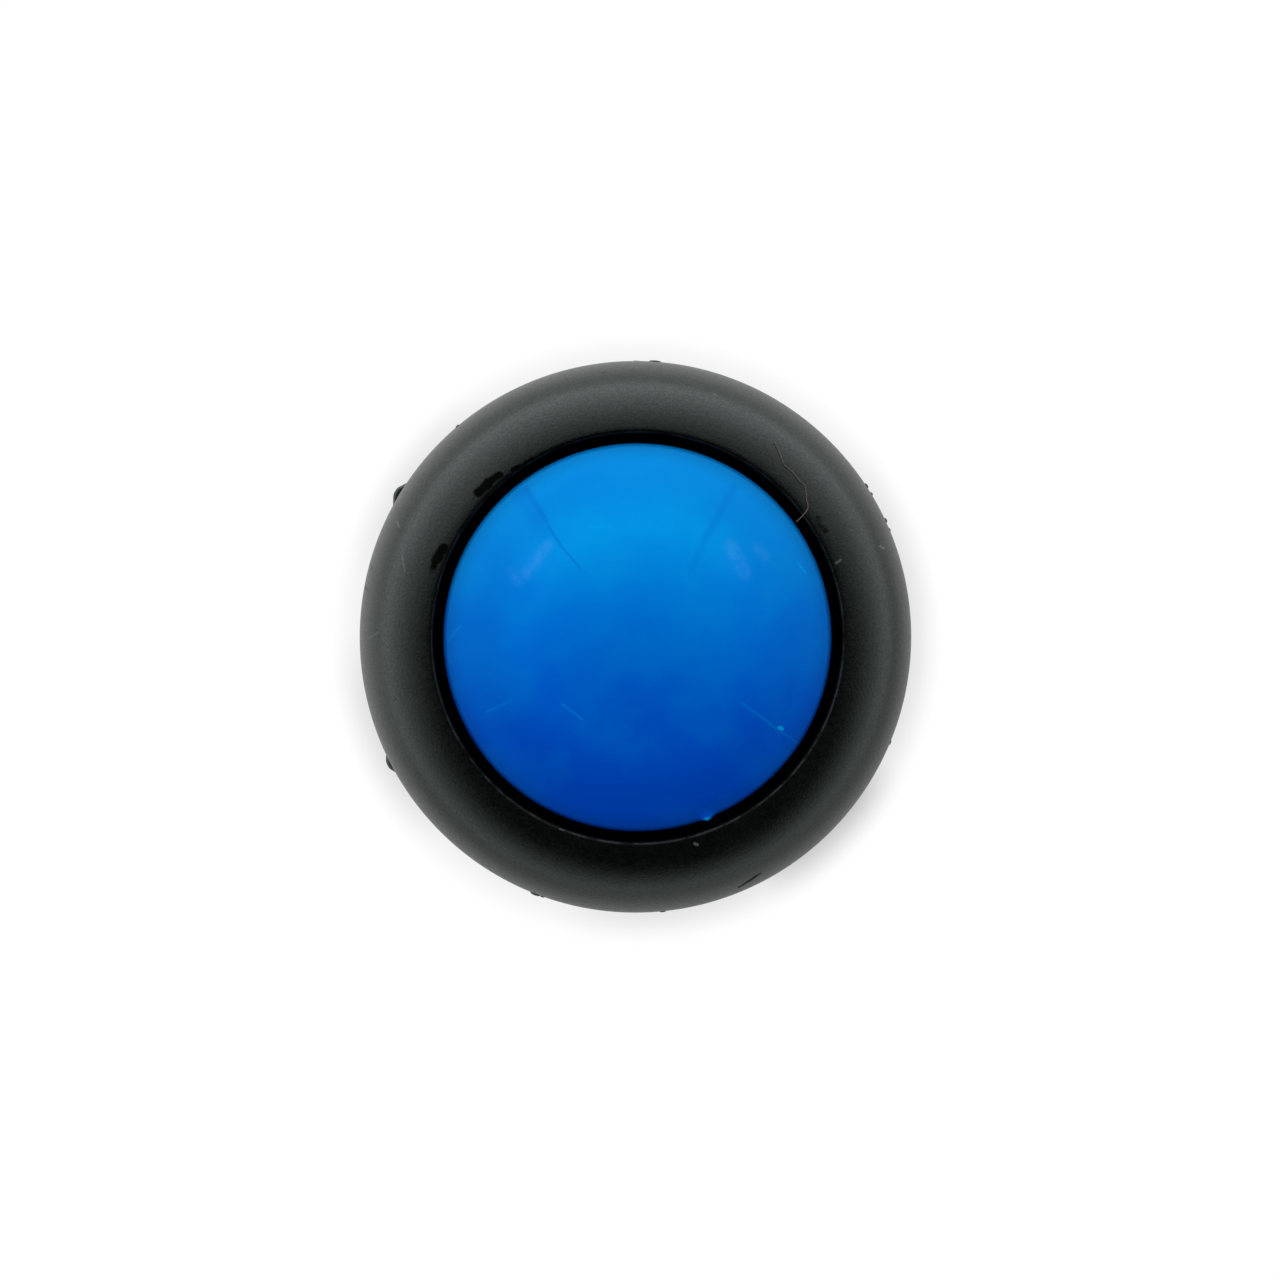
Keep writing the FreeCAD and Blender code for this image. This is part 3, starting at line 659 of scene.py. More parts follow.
lint_tone = blend_colours(tree, grain(tree, size_mm=0.2), LINT_BROWN, LINT_GREY)
tree.links.new(lint_tone, shader.inputs["Base Color"])
shader.inputs["Roughness"].default_value = LINT_ROUGH
place("lint", lint_mesh, "housing", lint_fibre)


# Button cap: glossy blue moulding with a shallow dome, hollow under the crown, with a post
# that snaps into the plunger. A nub of its moulding gate stands on the rim.
CAP_RADIUS = 5.4
CAP_RIM_DROP = 0.15
CAP_SKIRT = 0.65
CAP_DOME_RISE = 1.2
CAP_EDGE_ROUND = 0.2
CAP_RIM_WALL = 0.7
POST_RADIUS = 2.15
POST_LAND = 0.75
POST_LENGTH = 2.7
POST_CORE = 1.2
POST_ROOF = 0.4
POST_BEAD_RISE = 0.5
POST_BEAD_HEIGHT = 0.5
POST_BEAD_DEPTH = 0.15
POST_SLOT_HALF = 0.25
POST_SLOT_DEPTH = 1.7
CAP_SEGMENTS = 360
CAP_EDGE_STEPS = 10
DOME_STEPS = 60
GATE_NUB = (710, 824)
GATE_NUB_ZONE = 0.9
GATE_NUB_RISE = 0.13
GATE_NUB_LEAN = 0.7
GATE_NUB_DROP = 0.08
GATE_NUB_SPREAD = 0.10
CAP_BLUE = (0.0, 0.099, 0.72, 1)
# Painted light: the paler blue of the far side, where the light is brightest
CAP_BLUE_LIT_SIDE = (0.0, 0.298, 0.80, 1)
CAP_PALE_LINE = 3.0
CAP_PALE_POWER = 2.0
# Painted shade: how dark the blue turns towards the rim
CAP_RIM_PAINTED_SHADE = (1.0, 0.75, 0.86, 1)
CAP_RIM_START = 2.9
CAP_RIM_END = 4.7
CLOUD_SHARE = 0.09
# Painted reflection: the dark blue of the streaks
REFLECTED_STREAK_BLUE = (0.0, 0.12, 0.58, 1)
# Scratches and painted highlights share this paler blue
SCRATCH_AND_GLINT_BLUE = (0.0, 0.42, 0.95, 1)
CAP_SHEEN = (0.03, 0.6, 1.0, 1)
CAP_ROUGH = (0.12, 0.20)

rim = crest - CAP_RIM_DROP
crown_foot = rim - CAP_SKIRT
post_foot = crown_foot - POST_LENGTH
bead_foot = post_foot + POST_BEAD_RISE
dome_chord = CAP_RADIUS - CAP_EDGE_ROUND
dome_radius = (dome_chord ** 2 + CAP_DOME_RISE ** 2) / (2 * CAP_DOME_RISE)
dome_middle = (0.0, rim + CAP_DOME_RISE - dome_radius)
edge_drop = math.sqrt(dome_radius ** 2 - dome_chord ** 2)
edge_drop -= math.sqrt((dome_radius - CAP_EDGE_ROUND) ** 2 - dome_chord ** 2)
dome_edge = math.degrees(math.acos(dome_chord / (dome_radius - CAP_EDGE_ROUND)))
cap_roof = rim - CAP_EDGE_ROUND
land_edge = POST_RADIUS + POST_LAND
nub_spot = seen_at(*GATE_NUB, rim)
nub_angle = math.atan2(nub_spot.y, nub_spot.x)


def cap_shape(angle, radius, height):
    """Raise the gate nub on the rim."""
    if radius < dome_chord * GATE_NUB_ZONE or height < crown_foot:
        return radius, height
    away = (angle - nub_angle + math.pi) % (2 * math.pi) - math.pi
    spread = (away * CAP_RADIUS) ** 2 + (radius - CAP_RADIUS) ** 2
    spread += (height - rim + GATE_NUB_DROP) ** 2
    near = math.exp(-spread / GATE_NUB_SPREAD ** 2 / 2)
    return radius + GATE_NUB_RISE * near * GATE_NUB_LEAN, height + GATE_NUB_RISE * near


cap_outline = [(0.0, crown_foot - POST_ROOF), (POST_CORE, crown_foot - POST_ROOF)]
cap_outline += [(POST_CORE, post_foot), (POST_RADIUS, post_foot), (POST_RADIUS, bead_foot)]
cap_outline += [(POST_RADIUS + POST_BEAD_DEPTH, bead_foot + POST_BEAD_HEIGHT / 2)]
cap_outline += [(POST_RADIUS, bead_foot + POST_BEAD_HEIGHT), (POST_RADIUS, crown_foot)]
cap_outline += [(land_edge, crown_foot), (land_edge, cap_roof)]
cap_outline += [(CAP_RADIUS - CAP_RIM_WALL, cap_roof), (CAP_RADIUS - CAP_RIM_WALL, crown_foot)]
cap_outline += [(CAP_RADIUS, crown_foot), (CAP_RADIUS, (crown_foot + rim) / 2)]
cap_outline += bow((dome_chord, rim - edge_drop), CAP_EDGE_ROUND, 0, dome_edge, CAP_EDGE_STEPS)
cap_outline += bow(dome_middle, dome_radius, dome_edge, 90, DOME_STEPS)[1:-1]
cap_outline += [(0.0, rim + CAP_DOME_RISE)]

# Marks on the dome: dark streaks that are painted reflections, scratches with painted reflections
# and a painted highlight among them, and hazy pale patches that are painted reflections of lamps
REFLECTED_STREAK_MARKS = [
    (526, 489, 545, 521, 0.03, 0.13, 0.50),
    (545, 521, 560, 545, 0.012, 0.06, 0.50),
    (560, 545, 580, 569, 0.008, 0.04, 0.50),
    (522, 496, 541, 528, 0.05, 0.35, 0.28),
    (735, 486, 704, 540, 0.02, 0.16, 0.28),
    (704, 540, 690, 570, 0.02, 0.16, 0.20),
]
# Scratches, with painted light among them: the lines at lower left and lower right are painted
# reflections, and the spot on the gate nub is a painted highlight.
SCRATCH_AND_GLINT_MARKS = [
    (562, 704, 581, 719, 0.008, 0.04, 0.28),
    (487, 712, 510, 701, 0.008, 0.04, 0.16),
    (742, 703, 770, 724, 0.008, 0.04, 0.22),
    (770, 724, 800, 745, 0.008, 0.04, 0.16),
    (780, 728, 782, 729, 0.025, 0.05, 0.85),
    (708, 822, 709, 823, 0.04, 0.12, 0.8),
    (448, 640, 460, 626, 0.008, 0.05, 0.16),
    (590, 527, 612, 526, 0.008, 0.04, 0.16),
    (799, 563, 806, 573, 0.008, 0.04, 0.30),
]
# Painted reflections of lamps: pale hazy patches on the upper dome.
LAMP_REFLECTION_MARKS = [
    (527, 573, 547, 545, 0.01, 0.24, 0.40),
    (512, 572, 517, 582, 0.01, 0.22, 0.24),
    (731, 546, 744, 573, 0.01, 0.28, 0.42),
    (757, 546, 764, 556, 0.01, 0.24, 0.22),
]
# Painted reflection: the pale blue of the lamp patches
LAMP_REFLECTION_BLUE = (0.055, 0.30, 0.84, 1)
cap_blue, tree, shader = new_material("cap_blue")
across = node(tree, "ShaderNodeSeparateXYZ", {0: own_place(tree)}).outputs["Y"]
cloudy = (-CLOUD_SHARE, CLOUD_SHARE)
cloud = patches(tree, size_mm=2.2, span=(0.36, 0.66), to=cloudy, detail=4.0, roughness=0.55)
# Painted light: the blue turns paler towards the far side, where the light is brightest; the cloud
# on it is random tone.
flow_and_painted_light = {0: across, 1: -CAP_RADIUS * MM, 2: CAP_PALE_LINE * MM}
flow_and_painted_light = node(tree, "ShaderNodeMapRange", flow_and_painted_light).outputs[0]
flow_and_painted_light = reckon(tree, "POWER", flow_and_painted_light, CAP_PALE_POWER)
flow_and_painted_light = reckon(tree, "ADD", flow_and_painted_light, cloud, use_clamp=True)
tone = blend_colours(tree, flow_and_painted_light, CAP_BLUE, CAP_BLUE_LIT_SIDE)
# Painted shade: the blue darkens towards the rim.
rim_painted_shade = between_mm(tree, own_reach(tree), CAP_RIM_START, CAP_RIM_END)
rim_shaded = {0: rim_painted_shade, 6: tone, 7: CAP_RIM_PAINTED_SHADE}
tone = node(tree, "ShaderNodeMix", rim_shaded, data_type="RGBA", blend_type="MULTIPLY").outputs[2]
mark_height = rim + CAP_DOME_RISE / 2
# Painted reflection: dark streaks on the upper dome.
tone = blend_colours(tree, strokes(tree, REFLECTED_STREAK_MARKS, mark_height, rim), tone, REFLECTED_STREAK_BLUE)
# Painted reflection: pale patches of the lamps, broken up by noise.
reflection_haze = patches(tree, size_mm=0.2, span=(0.2, 0.75), detail=3.0, roughness=0.6)
lamp_reflections = reckon(tree, "MULTIPLY", strokes(tree, LAMP_REFLECTION_MARKS, mark_height, rim), reflection_haze)
tone = blend_colours(tree, lamp_reflections, tone, LAMP_REFLECTION_BLUE)
# Scratches, painted reflections and a painted highlight in paler blue.
tone = blend_colours(tree, strokes(tree, SCRATCH_AND_GLINT_MARKS, mark_height, rim), tone, SCRATCH_AND_GLINT_BLUE)
dress(tree, shader, tone, patches(tree, size_mm=0.8, to=CAP_ROUGH, detail=5.0, roughness=0.6))
emboss(tree, shader, strength=0.25, depth_mm=0.02, relief=grain(tree, size_mm=0.9, detail=2.0))
shader.inputs["Specular Tint"].default_value = CAP_SHEEN

cap_mesh = turned_mesh("button_cap_mesh", cap_outline, CAP_SEGMENTS, cap_shape)
slot_arm = [
    (land_edge, -POST_SLOT_HALF),
    (land_edge, POST_SLOT_HALF),
    (POST_SLOT_HALF, POST_SLOT_HALF),
]
slot_outline = []
for degrees in (0, 90, 180, 270):
    turn = Matrix.Rotation(math.radians(degrees), 2)
    slot_outline += [tuple(turn @ Vector(corner)) for corner in slot_arm]
post_slots = prism_mesh(
    "post_slots", slot_outline, post_foot - OVERCUT, post_foot + POST_SLOT_DEPTH
)
cap_mesh = cut_out(cap_mesh, post_slots)
place("blue_cap", cap_mesh, "button", cap_blue, "button_cap")


# Plunger: a slide of natural nylon, moulded with the latch track on its flat. The cap's post
# snaps into its top. The CAD model has its whole shape, so it only gets its finish here.
NYLON = (0.66, 0.64, 0.56, 1)
NYLON_WARM = (0.72, 0.68, 0.57, 1)
NYLON_ROUGH = (0.35, 0.5)
NYLON_CLEAR = 0.15
NYLON_CLEAR_DEPTH = 1.0
natural_nylon, tree, shader = new_material("natural_nylon")
tone = blend_colours(tree, grain(tree, size_mm=1.5), NYLON, NYLON_WARM)
dress(tree, shader, tone, patches(tree, size_mm=0.2, to=NYLON_ROUGH))
shader.inputs["Subsurface Weight"].default_value = NYLON_CLEAR
shader.inputs["Subsurface Scale"].default_value = NYLON_CLEAR_DEPTH * MM


def finish_node(name, material):
    """Give a CAD node its material."""
    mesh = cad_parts[name].data
    mesh.materials.clear()
    mesh.materials.append(material)


finish_node("plunger", natural_nylon)


# Rubber pieces: the flat gasket under the bezel, cut from sheet with a softened edge, and the
# ring that seals the plunger's stem in its groove.
GASKET_INNER = 5.95
GASKET_OUTER = 7.4
GASKET_ROUND = 0.15
GASKET_STEPS = 5
GASKET_SEGMENTS = 240
RUBBER_BLACK = (0.008, 0.0085, 0.0083, 1)
RUBBER_BLOOM = (0.020, 0.0212, 0.0208, 1)
RUBBER_ROUGH = (0.55, 0.75)
gasket_edge = GASKET_OUTER - GASKET_ROUND
gasket_outline = [(GASKET_INNER, BEZEL_FOOT), (GASKET_INNER, 0.0)]
gasket_outline += bow((gasket_edge, GASKET_ROUND), GASKET_ROUND, -90, 0, GASKET_STEPS)
gasket_outline += bow(
    (gasket_edge, BEZEL_FOOT - GASKET_ROUND), GASKET_ROUND, 0, 90, GASKET_STEPS
)
black_rubber, tree, shader = new_material("black_rubber")
bloom = patches(tree, size_mm=0.9, span=(0.4, 0.75), detail=5.0, roughness=0.65)
tone = blend_colours(tree, bloom, RUBBER_BLACK, RUBBER_BLOOM)
dress(tree, shader, tone, between(tree, bloom, 0.0, 1.0, *RUBBER_ROUGH))
shader.inputs["Specular Tint"].default_value = MOULDING_SHEEN
emboss(tree, shader, strength=0.4, depth_mm=0.01, relief=grain(tree, size_mm=0.05))
gasket_mesh = turned_mesh("gasket_mesh", gasket_outline, GASKET_SEGMENTS)
place("panel_ring", gasket_mesh, "housing", black_rubber, "panel_gasket")
finish_node("plunger_seal", black_rubber)


# Hexagon nut: black moulded plastic, 14 mm across the flats, chamfered below, with softened
# edges and the barrel's thread in its bore.
NUT_HALF = 7.0
NUT_TOP = -5.0
NUT_FOOT = -7.5
NUT_TURN = math.radians(1.6)
NUT_CORNER_TRIM = 0.06
NUT_SIDE = math.radians(60)
NUT_CONE = 2
NUT_CONE_OVER = 1.2
NUT_CONE_STEPS = 14
NUT_BORE = 5.97
NUT_BORE_CHAMFER = 0.35
NUT_THREAD_DEPTH = 0.3
NUT_THREAD_RUNOUT = 0.5
NUT_EDGE = 0.07
NUT_SEGMENTS = 720
NUT_STEPS = 24
NUT_BLACK = (0.0060, 0.0070, 0.0066, 1)
NUT_BLACK_WORN = (0.0110, 0.0126, 0.0118, 1)
NUT_ROUGH = (0.36, 0.5)
nut_edge_radius = NUT_HALF / math.cos(NUT_SIDE / 2) - NUT_CORNER_TRIM
cone_rise = (nut_edge_radius - NUT_HALF) / NUT_CONE * NUT_CONE_OVER / NUT_CONE_STEPS


def nut_shape(angle, radius, height):
    """Turn the outer rings into a hexagon with a chamfered foot, and thread the bore."""
    if radius < NUT_BORE + NUT_BORE_CHAMFER / 2:
        ends = min(NUT_TOP - height, height - NUT_FOOT) - NUT_BORE_CHAMFER
        depth = NUT_THREAD_DEPTH * min(max(ends / NUT_THREAD_RUNOUT, 0.0), 1.0)
        return radius + depth * thread_wave(angle, height), height
    if radius < NUT_HALF - NUT_EDGE:
        return radius, height
    off = (angle + NUT_TURN + NUT_SIDE / 2) % NUT_SIDE - NUT_SIDE / 2
    flat = min(NUT_HALF / math.cos(off), nut_edge_radius)
    cone = NUT_HALF - NUT_EDGE + (height - NUT_FOOT) * NUT_CONE
    return min(flat, cone) + (radius - NUT_HALF), height


nut_outline = [(NUT_BORE + NUT_BORE_CHAMFER, NUT_FOOT), (NUT_HALF - NUT_EDGE, NUT_FOOT)]
nut_outline += [(NUT_HALF, NUT_FOOT + cone_rise * i) for i in range(1, NUT_CONE_STEPS + 1)]
nut_outline += [(NUT_HALF, NUT_TOP - NUT_EDGE), (NUT_HALF - NUT_EDGE, NUT_TOP)]
nut_outline += [(NUT_BORE + NUT_BORE_CHAMFER, NUT_TOP)]
bore_top = NUT_TOP - NUT_BORE_CHAMFER
bore_rise = (NUT_FOOT + NUT_BORE_CHAMFER - bore_top) / NUT_STEPS
nut_outline += [(NUT_BORE, bore_top + bore_rise * i) for i in range(NUT_STEPS + 1)]
nut_mesh = turned_mesh("nut_mesh", nut_outline, NUT_SEGMENTS, nut_shape)
nut_moulding, tree, shader = new_material("nut_moulding")
wear = patches(tree, size_mm=0.9, span=(0.4, 0.7), detail=5.0, roughness=0.6)
tone = blend_colours(tree, wear, NUT_BLACK, NUT_BLACK_WORN)
dress(tree, shader, tone, patches(tree, size_mm=0.15, to=NUT_ROUGH))
shader.inputs["Specular Tint"].default_value = MOULDING_SHEEN
emboss(tree, shader, strength=0.3, depth_mm=0.01, relief=grain(tree, size_mm=0.08))
place("panel_nut", nut_mesh, "nut", nut_moulding, "hex_nut")


# Springs: bright drawn steel wire, one coil under the plunger and a small one over the
# contact disc.
RETURN_WIRE = 0.45
RETURN_RADIUS = 3.2
RETURN_TURNS = 5.5
CONTACT_WIRE = 0.25
CONTACT_RADIUS = 1.1
CONTACT_TURNS = 4.5
SPRING_SEAT = 0.02
COIL_STEPS = 48
WIRE_SIDES = 12
WIRE_SHARP_EDGE = 50
STEEL = (0.46, 0.46, 0.47, 1)
STEEL_DARK = (0.30, 0.30, 0.31, 1)
STEEL_ROUGH = (0.22, 0.4)
spring_steel, tree, shader = new_material("spring_steel")
shader.inputs["Metallic"].default_value = 1.0
tone = blend_colours(tree, grain(tree, size_mm=0.4), STEEL, STEEL_DARK)
dress(tree, shader, tone, patches(tree, size_mm=0.1, to=STEEL_ROUGH))


def spring_seats(name):
    """The heights of the two seats that a spring stands between."""
    low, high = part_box(name)
    return low[2] / MM - SPRING_SEAT, high[2] / MM + SPRING_SEAT


def coil_mesh(name, wire, radius, foot, top, turns):
    """A coil of round wire between two heights, its cut ends closed."""
    low = foot + wire / 2 + SPRING_SEAT
    rise = top - wire / 2 - SPRING_SEAT - low
    steps = int(COIL_STEPS * turns)
    corners = []
    for i in range(steps + 1):
        angle = 2 * math.pi * turns * i / steps
        for side in range(WIRE_SIDES):
            around = 2 * math.pi * side / WIRE_SIDES
            reach = radius + wire / 2 * math.cos(around)
            height = low + rise * i / steps + wire / 2 * math.sin(around)
            corners.append(around_axis(angle, reach, height))
    mesh = mesh_of(name, corners, tube_faces(0, steps, WIRE_SIDES))
    return smooth(mesh, WIRE_SHARP_EDGE)


return_foot, return_top = spring_seats("return_spring")
return_mesh = coil_mesh(
    "return_coil_mesh", RETURN_WIRE, RETURN_RADIUS, return_foot, return_top, RETURN_TURNS
)
return_coil = place(
    "return_coil", return_mesh, "housing", spring_steel, "return_spring"
)
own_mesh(return_coil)
contact_foot, contact_top = spring_seats("contact_spring")
contact_mesh = coil_mesh(
    "contact_coil_mesh", CONTACT_WIRE, CONTACT_RADIUS, contact_foot, contact_top, CONTACT_TURNS
)
contact_coil = place(
    "contact_coil", contact_mesh, "button", spring_steel, "contact_spring"
)
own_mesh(contact_coil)


# Latch: a bent steel wire whose tip runs in the heart-shaped track, and the thin leaf that
# presses on it from behind.
finish_node("latch_wire", spring_steel)
finish_node("latch_leaf", spring_steel)


# Contacts: silver-plated disc in the plunger's cup, and two rivets through the base that it
# bridges when the button goes down.
SILVER = (0.74, 0.72, 0.68, 1)
SILVER_TARNISH = (0.52, 0.48, 0.42, 1)
SILVER_ROUGH = (0.18, 0.4)
silver_plate, tree, shader = new_material("silver_plate")
shader.inputs["Metallic"].default_value = 1.0
tarnish = patches(tree, size_mm=0.5, span=(0.45, 0.75), detail=5.0, roughness=0.6)
tone = blend_colours(tree, tarnish, SILVER, SILVER_TARNISH)
dress(tree, shader, tone, between(tree, tarnish, 0.0, 1.0, *SILVER_ROUGH))
for contact in ("contact_disc", "fixed_contact_left", "fixed_contact_right"):
    finish_node(contact, silver_plate)


# Base: a dark resin plug that closes the barrel, carries the rivets and keeps the solder lugs
# apart with a rib.
RESIN = (0.0095, 0.0102, 0.0100, 1)
RESIN_PALE = (0.0180, 0.0192, 0.0188, 1)
RESIN_ROUGH = (0.45, 0.6)
base_resin, tree, shader = new_material("base_resin")
flow_and_painted_light = patches(tree, size_mm=0.8, span=(0.35, 0.7), detail=5.0, roughness=0.6)
tone = blend_colours(tree, flow_and_painted_light, RESIN, RESIN_PALE)
dress(tree, shader, tone, patches(tree, size_mm=0.15, to=RESIN_ROUGH))
shader.inputs["Specular Tint"].default_value = MOULDING_SHEEN
emboss(tree, shader, strength=0.4, depth_mm=0.015, relief=grain(tree, size_mm=0.1))
finish_node("terminal_base", base_resin)


# Solder lugs: brass strip, blanked with an oblong eye, bent at the knee and dipped in tin. The
# rivets' tails clamp their feet under the base.
LUG_SEAT = -16.2
LUG_END = -22.0
LUG_THICK = 0.5
LUG_HALF_WIDTH = 1.1
LUG_SPLIT = 0.35
LUG_REACH = 3.1
LUG_BEND = 0.3
LUG_BEND_STEPS = 12
LUG_HEEL_ROUND = 0.1
LUG_TIP_ROUND = 0.6
LUG_CORNER_STEPS = 8
LUG_EDGE = 0.06
LUG_EDGE_STEPS = 2
LUG_SHARP_EDGE = 25
EYE_FOOT = -21.1
EYE_TOP = -19.5
EYE_HALF_WIDTH = 0.45
EYE_ROUND = 0.4
RIVET_PLACE = 1.0
RIVET_HOLE = 0.37
TIN = (0.62, 0.62, 0.60, 1)
TIN_DULL = (0.44, 0.44, 0.42, 1)
TIN_ROUGH = (0.24, 0.45)
knee_middle = (LUG_REACH - LUG_THICK - LUG_BEND, LUG_SEAT - LUG_THICK - LUG_BEND)
knee_radius = LUG_BEND + LUG_THICK / 2
knee_start = knee_middle[0] - LUG_SPLIT
knee_end = knee_start + knee_radius * math.pi / 2
blank_end = knee_end + knee_middle[1] - LUG_END
hole_along = RIVET_PLACE - LUG_SPLIT
hole_radius = RIVET_HOLE + LUG_EDGE
eye_round = EYE_ROUND + LUG_EDGE


def along_strip(height):
    """How far along the flat blank a height on the hanging leg lies."""
    return knee_end + knee_middle[1] - height


def rounded_outline(low, high, half_width, low_round, high_round):
    """A closed outline along the strip with rounded corners at its two ends."""
    corners = [
        (low + low_round, low_round - half_width, low_round, 180),
        (high - high_round, high_round - half_width, high_round, 270),
        (high - high_round, half_width - high_round, high_round, 0),
        (low + low_round, half_width - low_round, low_round, 90),
    ]
    points = []
    for along, across, radius, start in corners:
        points += bow((along, across), radius, start, start + 90, LUG_CORNER_STEPS)
    return points


def bent(along, across, out):
    """Where a point of the flat blank goes when the strip is bent at the knee."""
    reach = knee_radius + out
    if along < knee_start:
        return Vector((LUG_SPLIT + along, across, knee_middle[1] + reach)) * MM
    if along > knee_end:
        return Vector((knee_middle[0] + reach, across, knee_middle[1] + knee_end - along)) * MM
    turn = (along - knee_start) / knee_radius
    height = knee_middle[1] + reach * math.cos(turn)
    return Vector((knee_middle[0] + reach * math.sin(turn), across, height)) * MM


lug_curve = bpy.data.curves.new("lug_blank", "CURVE")
lug_curve.dimensions = "2D"
lug_curve.fill_mode = "BOTH"
lug_curve.extrude = LUG_THICK / 2 - LUG_EDGE
lug_curve.bevel_depth = LUG_EDGE
lug_curve.bevel_resolution = LUG_EDGE_STEPS
lug_outline = rounded_outline(
    LUG_EDGE, blank_end - LUG_EDGE, LUG_HALF_WIDTH - LUG_EDGE, LUG_HEEL_ROUND, LUG_TIP_ROUND
)
eye_start = along_strip(EYE_TOP) - LUG_EDGE
eye_end = along_strip(EYE_FOOT) + LUG_EDGE
eye_outline = rounded_outline(
    eye_start, eye_end, EYE_HALF_WIDTH + LUG_EDGE, eye_round, eye_round
)
hole_outline = rounded_outline(
    hole_along - hole_radius, hole_along + hole_radius, hole_radius, hole_radius, hole_radius
)
for outline in (lug_outline, eye_outline[::-1], hole_outline[::-1]):
    line = lug_curve.splines.new("POLY")
    line.points.add(len(outline) - 1)
    line.use_cyclic_u = True
    for point, (along, across) in zip(line.points, outline):
        point.co = (along, across, 0, 1)
lug_build = closed_build(lug_curve, LUG_EDGE * END_WELD)
for step in range(LUG_BEND_STEPS + 1):
    fold = knee_start + (knee_end - knee_start) * step / LUG_BEND_STEPS
    everything = lug_build.verts[:] + lug_build.edges[:] + lug_build.faces[:]
    bmesh.ops.bisect_plane(lug_build, geom=everything, plane_co=(fold, 0, 0), plane_no=(1, 0, 0))
for corner in lug_build.verts:
    corner.co = bent(*corner.co)
bmesh.ops.recalc_face_normals(lug_build, faces=lug_build.faces[:])

tin_plate, tree, shader = new_material("tin_plate")
shader.inputs["Metallic"].default_value = 1.0
dull_spots = patches(tree, size_mm=0.35, span=(0.42, 0.68), detail=6.0, roughness=0.65)
tone = blend_colours(tree, dull_spots, TIN, TIN_DULL)
dress(tree, shader, tone, between(tree, dull_spots, 0.0, 1.0, *TIN_ROUGH))
emboss(tree, shader, strength=0.3, depth_mm=0.01, relief=grain(tree, size_mm=0.12))
for side, turn in (("right", 0.0), ("left", math.pi)):
    lug_mesh = bpy.data.meshes.new(side + "_lug_mesh")
    lug_build.to_mesh(lug_mesh)
    lug_mesh.transform(Matrix.Rotation(turn, 4, "Z"))
    smooth(lug_mesh, LUG_SHARP_EDGE)
    place(side + "_lug", lug_mesh, "housing", tin_plate, "terminal_" + side)
lug_build.free()


# Floor: a plain white sheet under the lugs' tips. Its small matt share keeps the real shadow of the
# switch; its glow is nearly white, with a painted soft shadow around and under the switch, deeper in
# some directions: each lobe of it has a direction and a half spread in degrees, and the depth that
# it adds.
FLOOR_HALF = 900.0
FLOOR_DROP = 0.02
FLOOR_WHITE = (0.86, 0.86, 0.86, 1)
FLOOR_GLOW = 0.90
FLOOR_BRIGHT = 1.06
WHITE = (1, 1, 1, 1)
SHADE_MIDDLE = (635.5, 636.8)
SHADE_DEPTH = 0.14
SHADE_LOBES = [
    (0, 50, 0.12),
    (145, 25, 0.09),
    (203, 25, 0.14),
    (280, 28, 0.11),
    (315, 20, 0.32),
]
SHADE_LOBE_START = 6.0
SHADE_INNER = 8.6
SHADE_OUTER = 10.0
SHADE_CORE_DEPTH = 0.38
SHADE_CORE = 8.6
MIRROR_INNER = 7.5
MIRROR_NEAR = 0.5
MIRROR_FAR = 1.15
MIRROR_REACH = 45.0
MIRROR_SLANT = 0.3
MIRROR_TOWARD = (-0.45, 0.89, 0)
floor_height = cad_box[0][2] / MM - FLOOR_DROP
floor_corners = []
for x, y in ((-1, -1), (1, -1), (1, 1), (-1, 1)):
    floor_corners.append((x * FLOOR_HALF * MM, y * FLOOR_HALF * MM, floor_height * MM))
floor_mesh = mesh_of("floor_mesh", floor_corners, [(0, 1, 2, 3)])
floor_white = bpy.data.materials.new("floor_white")
floor_white.use_nodes = True
tree = floor_white.node_tree
tree.nodes.clear()
spot = own_place(tree)
offset = reckon_vector(tree, "SUBTRACT", spot, seen_at(*SHADE_MIDDLE, floor_height) * MM)
away = reckon_vector(tree, "LENGTH", offset)
side = reckon_vector(tree, "NORMALIZE", offset)
painted_shadow_lobes = 0.0
for degrees, spread, added in SHADE_LOBES:
    toward = Matrix.Rotation(math.radians(degrees), 3, "Z") @ Vector((1, 0, 0))
    facing = reckon_vector(tree, "DOT_PRODUCT", side, toward)
    lobe = between(tree, facing, math.cos(math.radians(spread)), 1.0, 0.0, added)
    painted_shadow_lobes = reckon(tree, "ADD", painted_shadow_lobes, lobe)
# Painted shadow: the glow darkens around the switch, more in the lobes' directions, and most under
# it.
ring_share = between_mm(tree, away, SHADE_LOBE_START, SHADE_INNER)
depth = reckon(tree, "MULTIPLY_ADD", painted_shadow_lobes, ring_share, SHADE_DEPTH)
fading = between_mm(tree, away, SHADE_INNER, SHADE_OUTER, 1.0, 0.0)
shade = reckon(tree, "SUBTRACT", 1.0, reckon(tree, "MULTIPLY", depth, fading))
core_bright = FLOOR_BRIGHT * (1 - SHADE_CORE_DEPTH)
core = between_mm(tree, away, 0.0, SHADE_CORE, core_bright, FLOOR_BRIGHT)
painted_shadow_glow = reckon(tree, "MULTIPLY", shade, core)
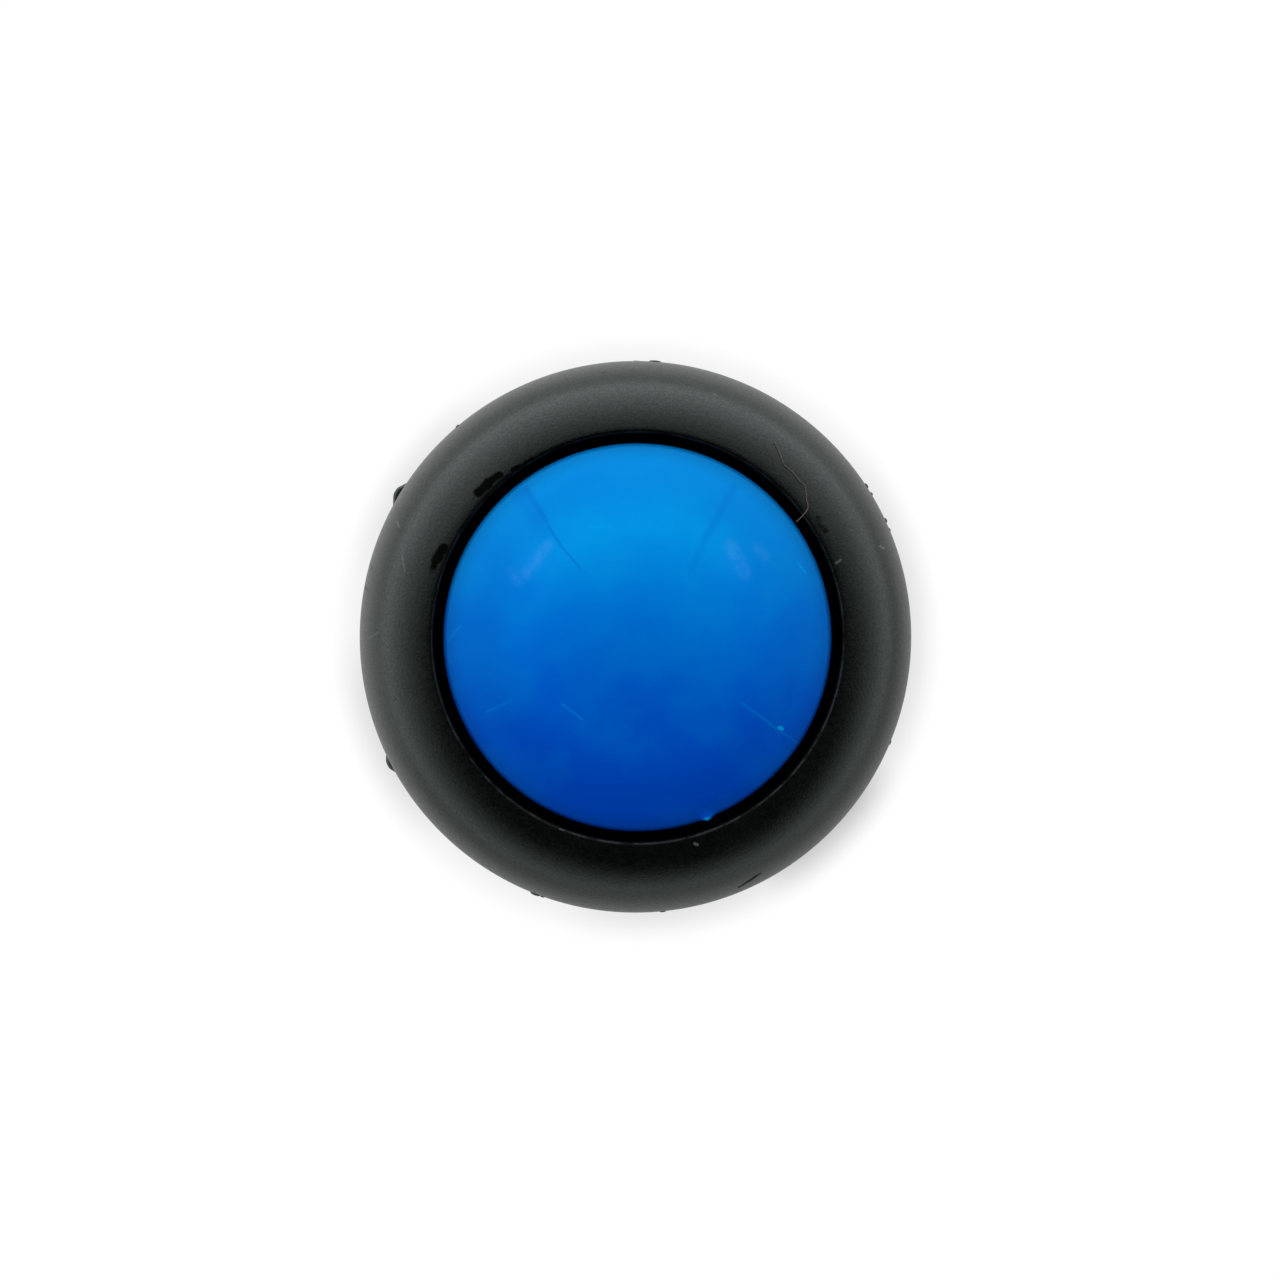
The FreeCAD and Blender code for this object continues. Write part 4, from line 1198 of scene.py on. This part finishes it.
# Painted shade and light in reflections: the glow that reflections see is darker near the switch and
# brighter towards the far side.
painted_glow_in_reflections = between_mm(tree, away, MIRROR_INNER, MIRROR_REACH, MIRROR_NEAR, MIRROR_FAR)
across = reckon_vector(tree, "DOT_PRODUCT", spot, MIRROR_TOWARD)
painted_far_side_light = between_mm(tree, across, -MIRROR_REACH, MIRROR_REACH, -MIRROR_SLANT, MIRROR_SLANT)
painted_glow_in_reflections = reckon(tree, "ADD", painted_glow_in_reflections, painted_far_side_light)
path = node(tree, "ShaderNodeLightPath").outputs
strength = blend_numbers(tree, path["Is Camera Ray"], painted_glow_in_reflections, painted_shadow_glow)
matt = node(tree, "ShaderNodeBsdfDiffuse", {"Color": FLOOR_WHITE}).outputs[0]
glow = node(tree, "ShaderNodeEmission", {"Color": WHITE, "Strength": strength}).outputs[0]
seen = reckon(tree, "MAXIMUM", path["Is Camera Ray"], path["Is Glossy Ray"])
seen = reckon(tree, "MAXIMUM", seen, path["Is Transmission Ray"])
share = reckon(tree, "MULTIPLY", seen, FLOOR_GLOW)
sheet = node(tree, "ShaderNodeMixShader", {0: share, 1: matt, 2: glow}).outputs[0]
node(tree, "ShaderNodeOutputMaterial", {"Surface": sheet})
floor_mesh.materials.append(floor_white)
floor = bpy.data.objects.new("floor", floor_mesh)
bpy.context.scene.collection.objects.link(floor)


# Light: a tent that is dark overhead, bright low down and brightest on the far side, and two
# small soft lamps higher up that glint on the dome.
LAMP_AIM = Vector((0.0, 0.0, 3.0))
LAMP_DISTANCE = 380.0
LAMP_SIZE = 60.0
LAMPS = [
    ("left_lamp", (-0.46, 0.34, 0.82), 0.012),
    ("right_lamp", (0.46, 0.34, 0.82), 0.010),
]
TENT_SIDE = 2.55
TENT_OVERHEAD = -0.14
TENT_FAR_SIDE = 1.1
TENT_RIGHT_SIDE = -0.22
for name, toward, power in LAMPS:
    lamp_data = bpy.data.lights.new(name, "AREA")
    lamp_data.shape = "RECTANGLE"
    lamp_data.size = LAMP_SIZE * MM
    lamp_data.size_y = LAMP_SIZE * MM
    lamp_data.energy = power
    lamp = bpy.data.objects.new(name, lamp_data)
    out = Vector(toward).normalized()
    lamp_turn = out.to_track_quat("Z", "Y").to_matrix().to_4x4()
    lamp.matrix_world = Matrix.Translation((LAMP_AIM + out * LAMP_DISTANCE) * MM) @ lamp_turn
    bpy.context.scene.collection.objects.link(lamp)
world = bpy.data.worlds.new("tent")
bpy.context.scene.world = world
world.use_nodes = True
tree = world.node_tree
tree.nodes.clear()
direction = node(tree, "ShaderNodeTexCoord").outputs["Generated"]
split = node(tree, "ShaderNodeSeparateXYZ", {0: direction}).outputs
level = TENT_SIDE + TENT_OVERHEAD
for axis, slope in (("Z", -TENT_SIDE), ("Y", TENT_FAR_SIDE), ("X", TENT_RIGHT_SIDE)):
    level = reckon(tree, "MULTIPLY_ADD", split[axis], slope, level)
level = reckon(tree, "MAXIMUM", level, 0.0)
tent = node(tree, "ShaderNodeBackground", {"Color": WHITE, "Strength": level}).outputs[0]
blank = node(tree, "ShaderNodeBackground", {"Color": WHITE, "Strength": 1.0}).outputs[0]
seen = node(tree, "ShaderNodeLightPath").outputs["Is Camera Ray"]
shown = node(tree, "ShaderNodeMixShader", {0: seen, 1: tent, 2: blank}).outputs[0]
node(tree, "ShaderNodeOutputWorld", {"Surface": shown})

bpy.context.scene.view_settings.view_transform = "Standard"
